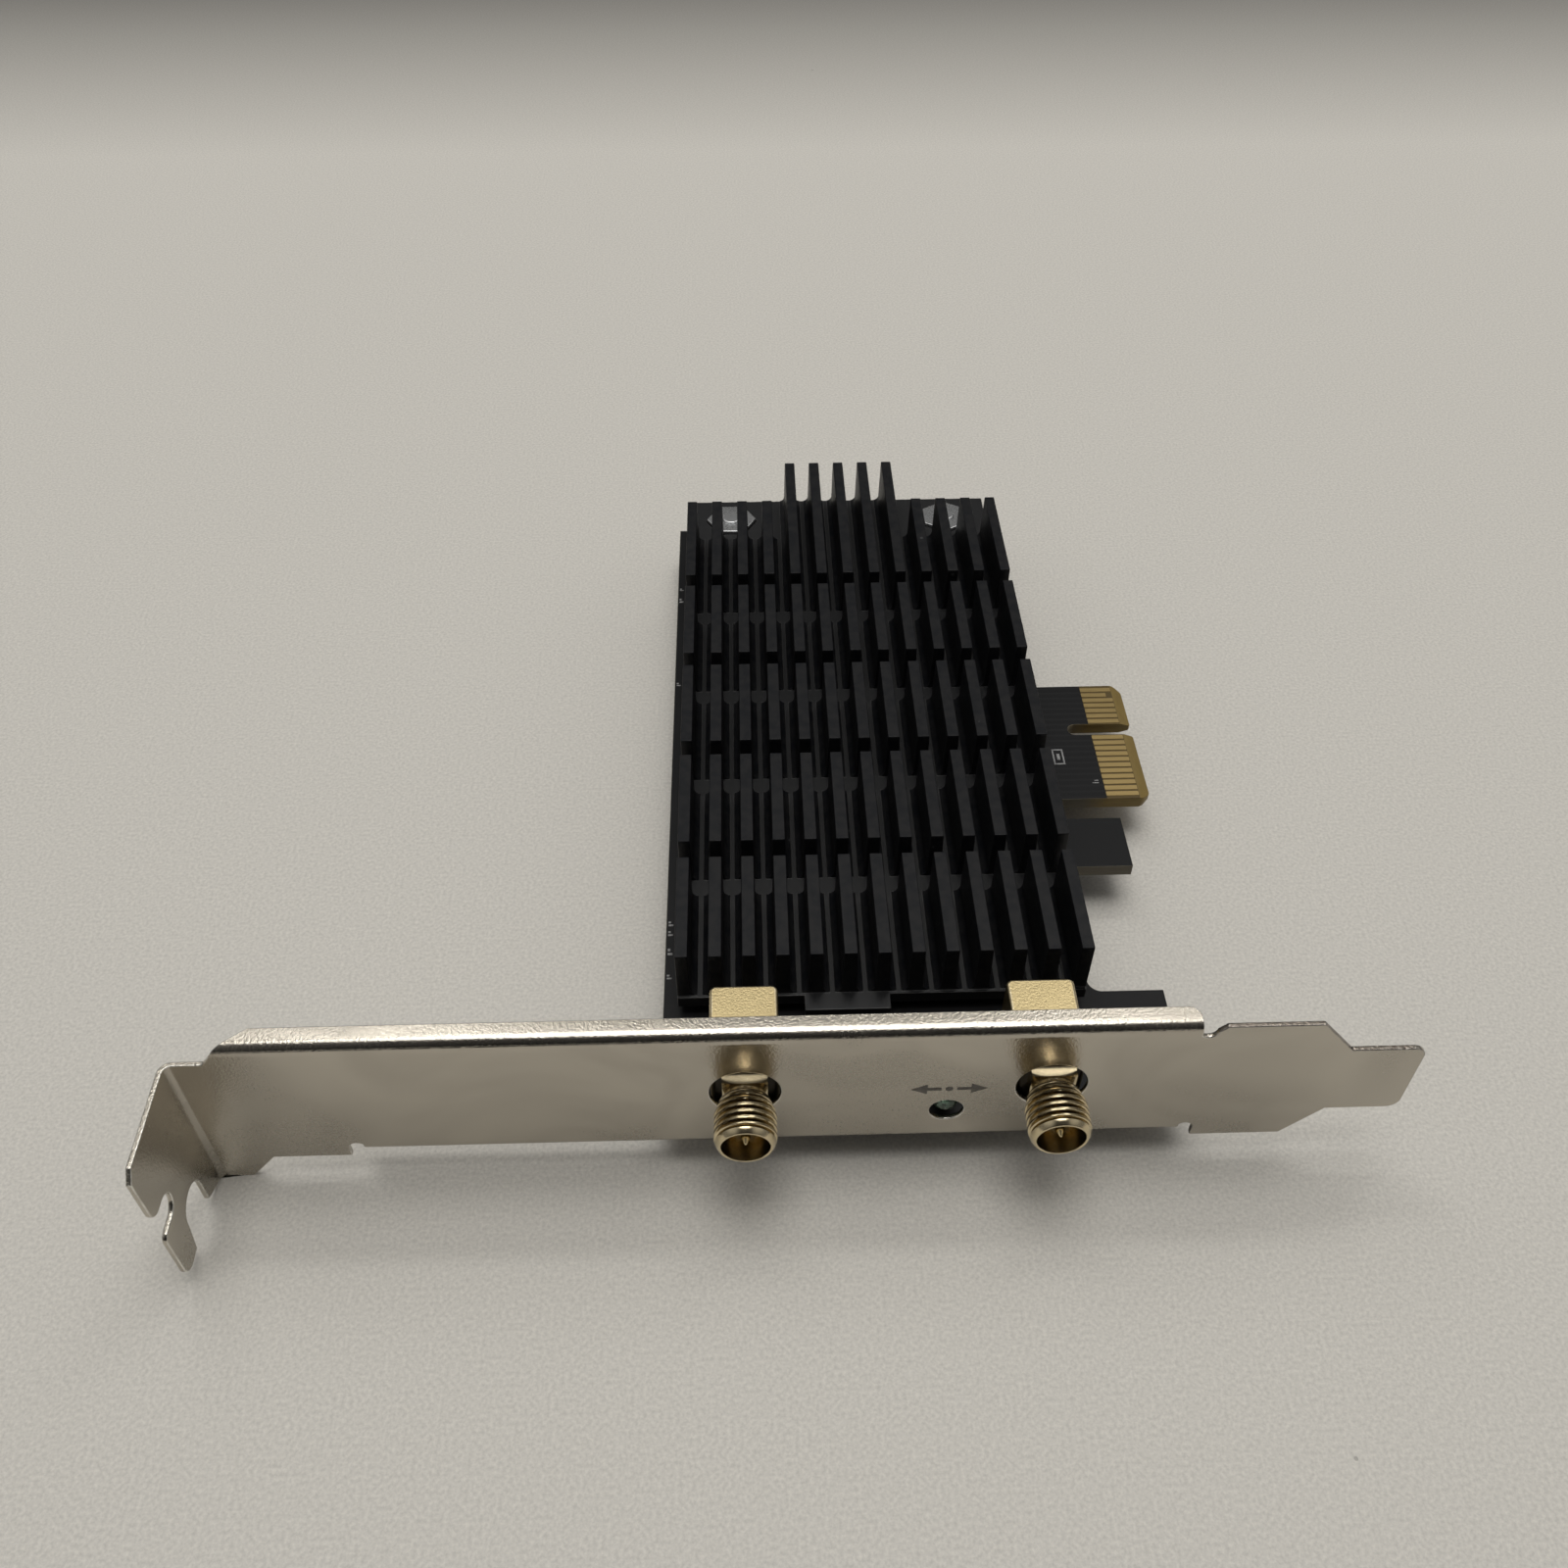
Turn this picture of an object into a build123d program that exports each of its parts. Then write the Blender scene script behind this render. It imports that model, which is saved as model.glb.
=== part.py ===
"""Plug-in wireless network card: heatsinked board, slot bracket, two antenna jacks.

The card lies flat with its heatsink up. X runs along the slot bracket, from the screw
tab to the tongue, Y runs from the bracket into the card, and Z points up. The origin
is under the middle of the card, on the surface that it lies on.
"""
import os
from math import atan2, degrees

from build123d import *

os.makedirs("parts", exist_ok=True)

# Slot bracket, folded from one sheet. Lengths are taken from the tab's outer face,
# heights from the component face of the board.
bracket_length = 120.02
bracket_width = 18.42
sheet = 0.55
fold_inner_radius = 0.65
corner_inner_radius = 0.7
lip_depth = 2.45
flange_depth = 2.2
lip_start = 5.05
lip_slant = 3.3
lip_end = 97.65
lip_corner = 1.2
flange_start = 16.0
flange_end = 98.4
relief_radius = 0.8
relief_bite = 0.2
wide_drop = 0.15
shoulder_height = 13.55
shoulder_length = 4.1
foot_height = 6.45
foot_length = 3.9
foot_ramp = 2.8
skirt_height = 3.05
skirt_end = 109.0
tongue_width = 10.19
tongue_centre = 6.4
tongue_start = 112.7
tongue_corner = 1.3

# Screw tab, bent out at a right angle. Reaches are taken from the bracket's outer face.
tab_length = 11.6
tab_corner = 1.15
screw_notch_width = 4.42
screw_notch_reach = 5.65
screw_notch_height = -1.8
guide_slot_width = 3.1
guide_slot_height = 4.05
guide_slot_depth = 3.7
tooth_height = -4.85
notch_flare = 0.6
prong_round = 1.5
knuckle_round = 0.9
finger_height = -5.3
finger_round = 1.6
tooth_round = 0.4

# Board outline. Reaches are taken from the bracket's outer face.
board_thickness = 1.57
board_left_margin = 1.65
board_right_margin = 1.0
board_far_margin = 0.8
board_gap = 0.2
corner_notch_width = 1.6
corner_notch_depth = 2.4
wing_right = 100.0
wing_reach = 16.0
wing_fillet = 1.5
hook_right = 100.25
hook_near = 33.85
hook_far = 41.6

# Edge connector: one lane, eighteen contacts a side, with a key notch.
key_reach = 57.15
key_width = 1.9
key_bottom = 96.4
connector_right = 104.7
connector_margin = 0.8
connector_corner = 1.0
bevel_length = 1.3
bevel_depth = 0.45
contact_pitch = 1.0
contact_width = 0.7
contact_start = 99.25
contact_inset = 0.15
contact_thickness = 0.05
short_contact_cut = 0.75
near_contacts = 11
far_contacts = 7
key_step = 1.5

# Heatsink: a comb of tapered fins on a base plate, cut across into five rows.
sink_centre = 69.15
sink_width = 43.5
sink_near = 14.25
sink_length = 90.65
pad_thickness = 0.4
base_thickness = 1.53
fin_count = 13
fin_edge = 0.63
fin_top = 1.39
fin_root = 2.9
fin_height = 6.62
fin_setback = 0.35
row_pitch = 16.0
row_cuts = 4
first_cut = 29.47
cut_width = 2.3
long_fins = 5
bare_length = 9.4
nose_width = 9.1
nose_depth = 1.9
nose_centre = 65.4
post_diameter = 5.4

# Heatsink screws: two with nuts in the far corners, two into the near posts.
screw_diameter = 2.5
screw_clearance = 0.1
screw_head_diameter = 4.6
screw_head_height = 1.3
nut_flats = 6.2
nut_thickness = 1.4
nut_proud = 0.4
nut_clearance = 0.05
nut_screw_proud = 0.25
nut_side_inset = 6.05
nut_far_inset = 4.85
near_screw_reach = 20.5
near_screw_inset = 3.75
near_screw_bite = 2.2

# Antenna jacks: a square block on the board and a threaded barrel through the bracket.
jack_left_inset = 8.75
jack_right_inset = 7.5
jack_height = 6.71
jack_block_width = 6.85
jack_block_reach = 10.5
jack_block_rise = 3.25
jack_block_corner = 0.65
jack_block_edge = 0.2
jack_block_gap = 0.45
jack_hole_clearance = 0.45
thread_diameter = 6.1
neck_relief = 0.85
neck_reach = 0.9
thread_chamfer = 0.4
barrel_reach = 6.0
barrel_wall = 0.7
socket_depth = 4.4
socket_shelf = 0.85
core_size = 2.4
jack_core_reach = 7.6
jack_pin_diameter = 0.92
jack_pin_recess = 0.35
jack_pin_taper = 0.7
jack_pin_point = 0.37
jack_pin_leg = 0.7
jack_leg = 0.9
jack_leg_spread = 5.08
jack_leg_near = 3.0
leg_proud = 1.1
leg_hole_clearance = 0.15

# Activity light: a domed round lens behind a hole in the bracket, on two bent leads.
led_inset = 10.0
led_height = 2.76
led_diameter = 2.9
led_hole_clearance = 0.25
led_length = 4.4
led_flange_diameter = 3.7
led_flange = 0.9
led_recess = 0.25
lead_size = 0.5
lead_spread = 2.54
lead_bend = 1.6
lead_radius = 0.8

# Bracket ears and their screws, under the board's near edge.
ear_clearance = 0.3
ear_width = 5.6
ear_inset = 4.4
ear_reach = 7.4
ear_screw_proud = 0.4
ear_boss_height = 0.31
ear_boss_diameter = 4.8

# Parts under the heatsink, all on the component face.
chip_height = 0.9
radio_size = 12.0
radio_inset = 3.15
radio_y = 46.0
pad_inset = 0.6
amplifier_width = 5.0
amplifier_depth = 4.0
amplifier_y = 26.5
memory_width = 5.0
memory_depth = 4.0
memory_y = 52.0
power_y = 70.0
regulator_size = 4.0
regulator_inset = 11.35
inductor_size = 4.4
inductor_inset = 6.5
crystal_width = 3.2
crystal_depth = 2.5
crystal_inset = 11.0
small_width = 1.6
small_depth = 0.8
small_height = 0.75
small_pitch = 3.0
row_gap = 0.8
small_columns = 4
lane_inset = 3.9

# Datums: the tab's outer face, the bracket's outer face and the board's upper face.
card_reach = sink_near + sink_length
tab_x = -bracket_length / 2
face_y = (tab_length - card_reach) / 2
board_z = foot_height

# Heights over the board and places that follow from the sizes above.
flange_bottom = -board_thickness - ear_boss_height - sheet
lip_top = flange_bottom + bracket_width
sink_gap = chip_height + pad_thickness
base_top = sink_gap + base_thickness
jack_block_top = jack_height + jack_block_rise
sink_left = sink_centre - sink_width / 2
sink_right = sink_centre + sink_width / 2
board_left = sink_left - board_left_margin
board_right = sink_right + board_right_margin
board_reach = card_reach - board_far_margin
fin_pitch = (sink_width - 2 * fin_edge) / (fin_count - 1)
jack_left = board_left + jack_left_inset
jack_right = board_right - jack_right_inset
led_centre = jack_right - led_inset
jack_hole = thread_diameter + 2 * jack_hole_clearance
neck_diameter = thread_diameter - 2 * neck_relief
socket_diameter = thread_diameter - 2 * barrel_wall
insulator_diameter = socket_diameter - 2 * socket_shelf
led_hole = led_diameter + 2 * led_hole_clearance
ear_left = jack_left - jack_leg_spread / 2 - jack_leg / 2 - ear_clearance - ear_width / 2
ear_right = wing_right - ear_inset
ear_places = [(ear_left, ear_reach), (ear_right, ear_reach)]
screw_hole = screw_diameter + 2 * screw_clearance
nut_left = sink_left + nut_side_inset
nut_right = sink_right - nut_side_inset
nut_reach = card_reach - nut_far_inset
short_fin_reach = card_reach - bare_length

# Working planes. On the face plane, u runs along the bracket and v is height over the
# board. On the tab plane, u runs outwards from the bracket.
face_plane = Plane((tab_x, face_y, board_z), x_dir=(1, 0, 0), z_dir=(0, -1, 0))
tab_plane = Plane((tab_x, face_y, board_z), x_dir=(0, -1, 0), z_dir=(-1, 0, 0))
board_plane = Plane((tab_x, face_y, board_z))
side_plane = Plane((tab_x, face_y, board_z), x_dir=(0, 1, 0), z_dir=(1, 0, 0))


def level(height):
    """A plan plane at a height over the board, with the card's reaches as u and v."""
    return board_plane.offset(height)


def place(u, v, height):
    """A point in the model from its length, reach and height on the card."""
    return (tab_x + u, face_y + v, board_z + height)


# Slot bracket
tongue_low = tongue_centre - tongue_width / 2
tongue_high = tongue_centre + tongue_width / 2
skirt_bottom = -skirt_height
wide_top = lip_top - wide_drop
fold_radius = sheet + fold_inner_radius
corner_radius = sheet + corner_inner_radius
relief_shift = relief_radius - relief_bite
relief_width = relief_radius + relief_shift
notch_radius = screw_notch_width / 2
notch_near = screw_notch_reach - notch_radius
notch_far = screw_notch_reach + notch_radius
slot_end = tab_length - guide_slot_depth
prong_low = guide_slot_height + guide_slot_width / 2
finger_top = guide_slot_height - guide_slot_width / 2

with BuildPart() as bracket:
    with BuildSketch(face_plane):
        with BuildLine():
            Polyline(
                (0, -foot_height),
                (0, shoulder_height),
                (shoulder_length, shoulder_height),
                (lip_start, lip_top - fold_radius),
                (lip_end, lip_top - fold_radius),
                (lip_end, wide_top - relief_radius),
                (lip_end + relief_width, wide_top - relief_radius),
                (lip_end + relief_width + relief_radius, wide_top),
                (skirt_end, wide_top),
                (tongue_start, tongue_high),
                (bracket_length, tongue_high),
                (bracket_length, tongue_low),
                (tongue_start, tongue_low),
                (skirt_end, skirt_bottom),
                (flange_end + relief_width, skirt_bottom),
                (flange_end + relief_width, flange_bottom + relief_radius),
                (flange_end, flange_bottom + relief_radius),
                (flange_end, flange_bottom + fold_radius),
                (flange_start, flange_bottom + fold_radius),
                (flange_start, flange_bottom + relief_radius),
                (flange_start - relief_width, flange_bottom + relief_radius),
                (flange_start - relief_width, skirt_bottom),
                (foot_length + foot_ramp, skirt_bottom),
                (foot_length, -foot_height),
                close=True,
            )
        make_face()
        with Locations((lip_end + relief_shift, wide_top - relief_radius)):
            Circle(relief_radius, mode=Mode.SUBTRACT)
        with Locations((flange_end + relief_shift, flange_bottom + relief_radius)):
            Circle(relief_radius, mode=Mode.SUBTRACT)
        with Locations((flange_start - relief_shift, flange_bottom + relief_radius)):
            Circle(relief_radius, mode=Mode.SUBTRACT)
        with Locations((jack_left, jack_height), (jack_right, jack_height)):
            Circle(jack_hole / 2, mode=Mode.SUBTRACT)
        with Locations((led_centre, led_height)):
            Circle(led_hole / 2, mode=Mode.SUBTRACT)
    extrude(amount=-sheet)
    fillet(bracket.edges().filter_by(Axis.Y).group_by(Axis.X)[-1], tongue_corner)

    # Upper lip, folded back, cut on a slant at its tab end and rounded at its tongue end.
    with BuildSketch(side_plane.offset(lip_start)) as lip_profile:
        with Locations((0, lip_top)):
            Rectangle(lip_depth, sheet, align=(Align.MIN, Align.MAX))
            Rectangle(sheet, 2 * fold_radius, align=(Align.MIN, Align.MAX))
        bends = lip_profile.vertices()
        fillet(bends.sort_by_distance((0, lip_top, 0))[0], fold_radius)
        bends = lip_profile.vertices()
        fillet(bends.sort_by_distance((sheet, lip_top - sheet, 0))[0], fold_inner_radius)
    extrude(amount=lip_end - lip_start)
    with BuildSketch(level(lip_top - fold_radius)):
        with BuildLine():
            Polyline(
                (lip_start, 0),
                (lip_start + lip_slant, lip_depth),
                (lip_start, lip_depth),
                close=True,
            )
        make_face()
    extrude(amount=fold_radius, mode=Mode.SUBTRACT)
    uprights = bracket.edges().filter_by(Axis.Z)
    fillet(uprights.sort_by_distance(place(lip_end, lip_depth, lip_top - sheet / 2))[0], lip_corner)

    # Lower flange under the board, with a bossed ear for each bracket screw.
    with BuildSketch(side_plane.offset(flange_start)) as flange_profile:
        with Locations((0, flange_bottom)):
            Rectangle(flange_depth, sheet, align=(Align.MIN, Align.MIN))
            Rectangle(sheet, 2 * fold_radius, align=(Align.MIN, Align.MIN))
        bends = flange_profile.vertices()
        fillet(bends.sort_by_distance((0, flange_bottom, 0))[0], fold_radius)
        bends = flange_profile.vertices()
        fillet(bends.sort_by_distance((sheet, flange_bottom + sheet, 0))[0], fold_inner_radius)
    extrude(amount=flange_end - flange_start)
    with BuildSketch(level(flange_bottom)):
        with Locations((ear_left, fold_radius), (ear_right, fold_radius)):
            Rectangle(ear_width, ear_reach - fold_radius, align=(Align.CENTER, Align.MIN))
        with Locations(*ear_places):
            Circle(ear_width / 2)
            Circle(screw_hole / 2, mode=Mode.SUBTRACT)
    extrude(amount=sheet)
    with BuildSketch(level(flange_bottom + sheet)):
        with Locations(*ear_places):
            Circle(ear_boss_diameter / 2)
            Circle(screw_hole / 2, mode=Mode.SUBTRACT)
    extrude(amount=ear_boss_height)

    # Screw tab with its open screw notch and its guide slot.
    with BuildSketch(tab_plane) as tab_sketch:
        with BuildLine():
            Polyline(
                (-sheet, -foot_height),
                (-sheet, shoulder_height),
                (tab_length - tab_corner, shoulder_height),
                (tab_length, shoulder_height - tab_corner),
                (tab_length, finger_height),
                (notch_near, tooth_height),
                (0, -foot_height),
                close=True,
            )
        make_face()
        with Locations((screw_notch_reach, screw_notch_height)):
            Circle(notch_radius, mode=Mode.SUBTRACT)
        with BuildLine():
            Polyline(
                (notch_near, screw_notch_height),
                (notch_near, -foot_height),
                (notch_far + notch_flare, -foot_height),
                (notch_far + notch_flare, tooth_height),
                (notch_far, screw_notch_height),
                close=True,
            )
        make_face(mode=Mode.SUBTRACT)
        with Locations((slot_end + guide_slot_width / 2, guide_slot_height)):
            Circle(guide_slot_width / 2, mode=Mode.SUBTRACT)
        with Locations((slot_end + guide_slot_width / 2, guide_slot_height)):
            Rectangle(
                tab_length,
                guide_slot_width,
                align=(Align.MIN, Align.CENTER),
                mode=Mode.SUBTRACT,
            )
        prong = tab_sketch.vertices().sort_by_distance((tab_length, prong_low, 0))[0]
        fillet(prong, prong_round)
        knuckle = tab_sketch.vertices().sort_by_distance((tab_length, finger_top, 0))[0]
        fillet(knuckle, knuckle_round)
        finger = tab_sketch.vertices().sort_by_distance((tab_length, finger_height, 0))[0]
        fillet(finger, finger_round)
        tooth = tab_sketch.vertices().sort_by_distance((notch_near, tooth_height, 0))[0]
        fillet(tooth, tooth_round)
    extrude(amount=-sheet)

    # The bend between the face and the tab.
    corners = bracket.edges().filter_by(Axis.Z)
    fillet(corners.sort_by_distance(place(0, sheet, tongue_centre))[0], corner_radius)
    corners = bracket.edges().filter_by(Axis.Z)
    fillet(corners.sort_by_distance(place(sheet, 0, tongue_centre))[0], corner_inner_radius)
bracket.part.label = "bracket"
export_step(bracket.part, "parts/bracket.step")

# Board
board_near = sheet + board_gap
connector_near = key_reach - key_step - (near_contacts - 1) * contact_pitch - connector_margin
connector_far = key_reach + key_step + (far_contacts - 1) * contact_pitch + connector_margin
pin_reach = jack_leg_near + jack_leg_spread / 2
lead_reach = led_recess + led_length + lead_bend
leg_hole = jack_leg + 2 * leg_hole_clearance
pin_hole = jack_pin_leg + 2 * leg_hole_clearance
lead_hole = lead_size + 2 * leg_hole_clearance
near_screw_left = sink_left + near_screw_inset
near_screw_right = sink_right - near_screw_inset
jack_places = [(jack_left, pin_reach), (jack_right, pin_reach)]
nut_places = [(nut_left, nut_reach), (nut_right, nut_reach)]
near_screw_places = [(near_screw_left, near_screw_reach), (near_screw_right, near_screw_reach)]

with BuildPart() as circuit_board:
    with BuildSketch(board_plane) as outline:
        with BuildLine():
            Polyline(
                (board_left, board_near),
                (wing_right, board_near),
                (wing_right, wing_reach),
                (board_right, wing_reach),
                (board_right, hook_near),
                (hook_right, hook_near),
                (hook_right, hook_far),
                (board_right, hook_far),
                (board_right, connector_near),
                (connector_right, connector_near),
                (connector_right, connector_far),
                (board_right, connector_far),
                (board_right, board_reach),
                (board_left, board_reach),
                close=True,
            )
        make_face()
        inner = outline.vertices().sort_by_distance((board_right, wing_reach, 0))[0]
        fillet(inner, wing_fillet)
        for corner_reach in (connector_near, connector_far):
            outer = outline.vertices().sort_by_distance((connector_right, corner_reach, 0))[0]
            chamfer(outer, connector_corner)
        with Locations((key_bottom + key_width / 2, key_reach)):
            Circle(key_width / 2, mode=Mode.SUBTRACT)
            Rectangle(
                connector_right,
                key_width,
                align=(Align.MIN, Align.CENTER),
                mode=Mode.SUBTRACT,
            )
        with Locations((board_left, board_reach), (board_right, board_reach)):
            Rectangle(2 * corner_notch_width, 2 * corner_notch_depth, mode=Mode.SUBTRACT)
        with Locations(*nut_places, *near_screw_places, *ear_places):
            Circle(screw_hole / 2, mode=Mode.SUBTRACT)
        with Locations(*jack_places):
            Rectangle(pin_hole, pin_hole, mode=Mode.SUBTRACT)
            with GridLocations(jack_leg_spread, jack_leg_spread, 2, 2):
                Rectangle(leg_hole, leg_hole, mode=Mode.SUBTRACT)
        with Locations((led_centre, lead_reach)):
            with GridLocations(lead_spread, lead_spread, 2, 1):
                Rectangle(lead_hole, lead_hole, mode=Mode.SUBTRACT)
    extrude(amount=-board_thickness)
    with BuildSketch(face_plane.offset(-(connector_near - connector_margin))):
        with BuildLine():
            Polyline(
                (connector_right - bevel_length, 0),
                (connector_right + bevel_length, 0),
                (connector_right + bevel_length, -2 * bevel_depth),
                close=True,
            )
        make_face()
        with BuildLine():
            Polyline(
                (connector_right - bevel_length, -board_thickness),
                (connector_right + bevel_length, -board_thickness),
                (connector_right + bevel_length, 2 * bevel_depth - board_thickness),
                close=True,
            )
        make_face()
    extrude(
        amount=-(connector_far - connector_near + 2 * connector_margin),
        mode=Mode.SUBTRACT,
    )
circuit_board.part.label = "circuit_board"
export_step(circuit_board.part, "parts/circuit_board.step")

# Edge contacts: one short presence contact on each side of the board.
contact_end = connector_right - bevel_length - contact_inset
contact_length = contact_end - contact_start
near_first = key_reach - key_step - (near_contacts - 1) * contact_pitch
far_first = key_reach + key_step
contact_reaches = [near_first + i * contact_pitch for i in range(near_contacts)]
contact_reaches += [far_first + i * contact_pitch for i in range(far_contacts)]
upper_short = contact_reaches[-2]
lower_short = contact_reaches[0]

with BuildPart() as contacts_upper:
    with BuildSketch(board_plane):
        for reach in contact_reaches:
            length = contact_length - (short_contact_cut if reach == upper_short else 0)
            with Locations((contact_start, reach)):
                Rectangle(length, contact_width, align=(Align.MIN, Align.CENTER))
    extrude(amount=contact_thickness)
contacts_upper.part.label = "contacts_upper"
export_step(contacts_upper.part, "parts/contacts_upper.step")

with BuildPart() as contacts_lower:
    with BuildSketch(level(-board_thickness)):
        for reach in contact_reaches:
            length = contact_length - (short_contact_cut if reach == lower_short else 0)
            with Locations((contact_start, reach)):
                Rectangle(length, contact_width, align=(Align.MIN, Align.CENTER))
    extrude(amount=-contact_thickness)
contacts_lower.part.label = "contacts_lower"
export_step(contacts_lower.part, "parts/contacts_lower.step")

# Heatsink
fin_angle = degrees(atan2(fin_height, (fin_root - fin_top) / 2))
pocket_depth = nut_thickness - nut_proud
bare_width = sink_width / 2 - (long_fins / 2) * fin_pitch
bare_shift = sink_width / 2 - bare_width / 2
bare_centre = short_fin_reach + bare_length / 2

with BuildPart() as heatsink:
    with BuildSketch(face_plane.offset(-sink_near)):
        with Locations((sink_centre, sink_gap)):
            Rectangle(sink_width, base_thickness, align=(Align.CENTER, Align.MIN))
        with Locations((sink_centre, base_top)):
            with GridLocations(fin_pitch, fin_pitch, fin_count, 1):
                Trapezoid(fin_root, fin_height, fin_angle, align=(Align.CENTER, Align.MIN))
        with Locations((sink_centre, sink_gap)):
            Rectangle(
                sink_width,
                base_thickness + fin_height,
                align=(Align.CENTER, Align.MIN),
                mode=Mode.INTERSECT,
            )
    extrude(amount=-sink_length)

    # The nose under the bracket's lip, and the posts that stand on the board.
    with BuildSketch(level(sink_gap)):
        with Locations((nose_centre, sink_near)):
            Rectangle(nose_width, nose_depth, align=(Align.CENTER, Align.MAX))
    extrude(amount=base_thickness)
    with BuildSketch(board_plane):
        with Locations(*nut_places, *near_screw_places):
            Circle(post_diameter / 2)
    extrude(amount=sink_gap)

    # Cross cuts, the step at the near ends and the bare corners around the nuts.
    with BuildSketch(level(base_top)):
        for i in range(row_cuts):
            with Locations((sink_centre, first_cut + i * row_pitch)):
                Rectangle(sink_width, cut_width)
        with Locations((sink_centre, sink_near)):
            Rectangle(sink_width, 2 * fin_setback)
        with Locations((sink_centre - bare_shift, bare_centre), (sink_centre + bare_shift, bare_centre)):
            Rectangle(bare_width, bare_length)
    extrude(amount=fin_height, mode=Mode.SUBTRACT)

    # Screw holes: through at the nuts, blind at the near posts.
    with BuildSketch(board_plane):
        with Locations(*nut_places):
            Circle(screw_hole / 2)
    extrude(amount=base_top, mode=Mode.SUBTRACT)
    with BuildSketch(board_plane):
        with Locations(*near_screw_places):
            Circle(screw_hole / 2)
    extrude(amount=near_screw_bite + screw_clearance, mode=Mode.SUBTRACT)
    with BuildSketch(level(base_top)):
        with Locations(nut_places[0]):
            RegularPolygon(nut_flats / 2 + screw_clearance, 6, major_radius=False)
        with Locations(nut_places[1]):
            RegularPolygon(nut_flats / 2 + screw_clearance, 6, major_radius=False, rotation=30)
    extrude(amount=-pocket_depth, mode=Mode.SUBTRACT)
heatsink.part.label = "heatsink"
export_step(heatsink.part, "parts/heatsink.step")

# Heatsink nuts
with BuildPart() as heatsink_nuts:
    with BuildSketch(level(base_top - pocket_depth)):
        with Locations(nut_places[0]):
            RegularPolygon(nut_flats / 2, 6, major_radius=False)
        with Locations(nut_places[1]):
            RegularPolygon(nut_flats / 2, 6, major_radius=False, rotation=30)
        with Locations(*nut_places):
            Circle(screw_diameter / 2 + nut_clearance, mode=Mode.SUBTRACT)
    extrude(amount=nut_thickness)
heatsink_nuts.part.label = "heatsink_nuts"
export_step(heatsink_nuts.part, "parts/heatsink_nuts.step")

# Heatsink screws, up through the board from the solder side.
under = -board_thickness
with BuildPart() as heatsink_screws:
    with BuildSketch(level(under)):
        with Locations(*nut_places, *near_screw_places):
            Circle(screw_head_diameter / 2)
    extrude(amount=-screw_head_height)
    with BuildSketch(level(under)):
        with Locations(*nut_places):
            Circle(screw_diameter / 2)
    extrude(amount=board_thickness + base_top + nut_proud + nut_screw_proud)
    with BuildSketch(level(under)):
        with Locations(*near_screw_places):
            Circle(screw_diameter / 2)
    extrude(amount=board_thickness + near_screw_bite)
heatsink_screws.part.label = "heatsink_screws"
export_step(heatsink_screws.part, "parts/heatsink_screws.step")

# Bracket screws, down through the board into the ears.
with BuildPart() as bracket_screws:
    with BuildSketch(board_plane):
        with Locations(*ear_places):
            Circle(screw_head_diameter / 2)
    extrude(amount=screw_head_height)
    with BuildSketch(board_plane):
        with Locations(*ear_places):
            Circle(screw_diameter / 2)
    extrude(amount=flange_bottom - ear_screw_proud)
bracket_screws.part.label = "bracket_screws"
export_step(bracket_screws.part, "parts/bracket_screws.step")

# Antenna jacks
block_near = sheet + jack_block_gap
block_depth = jack_block_reach - block_near
socket_floor = barrel_reach - socket_depth
leg_end = board_thickness + leg_proud

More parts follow.
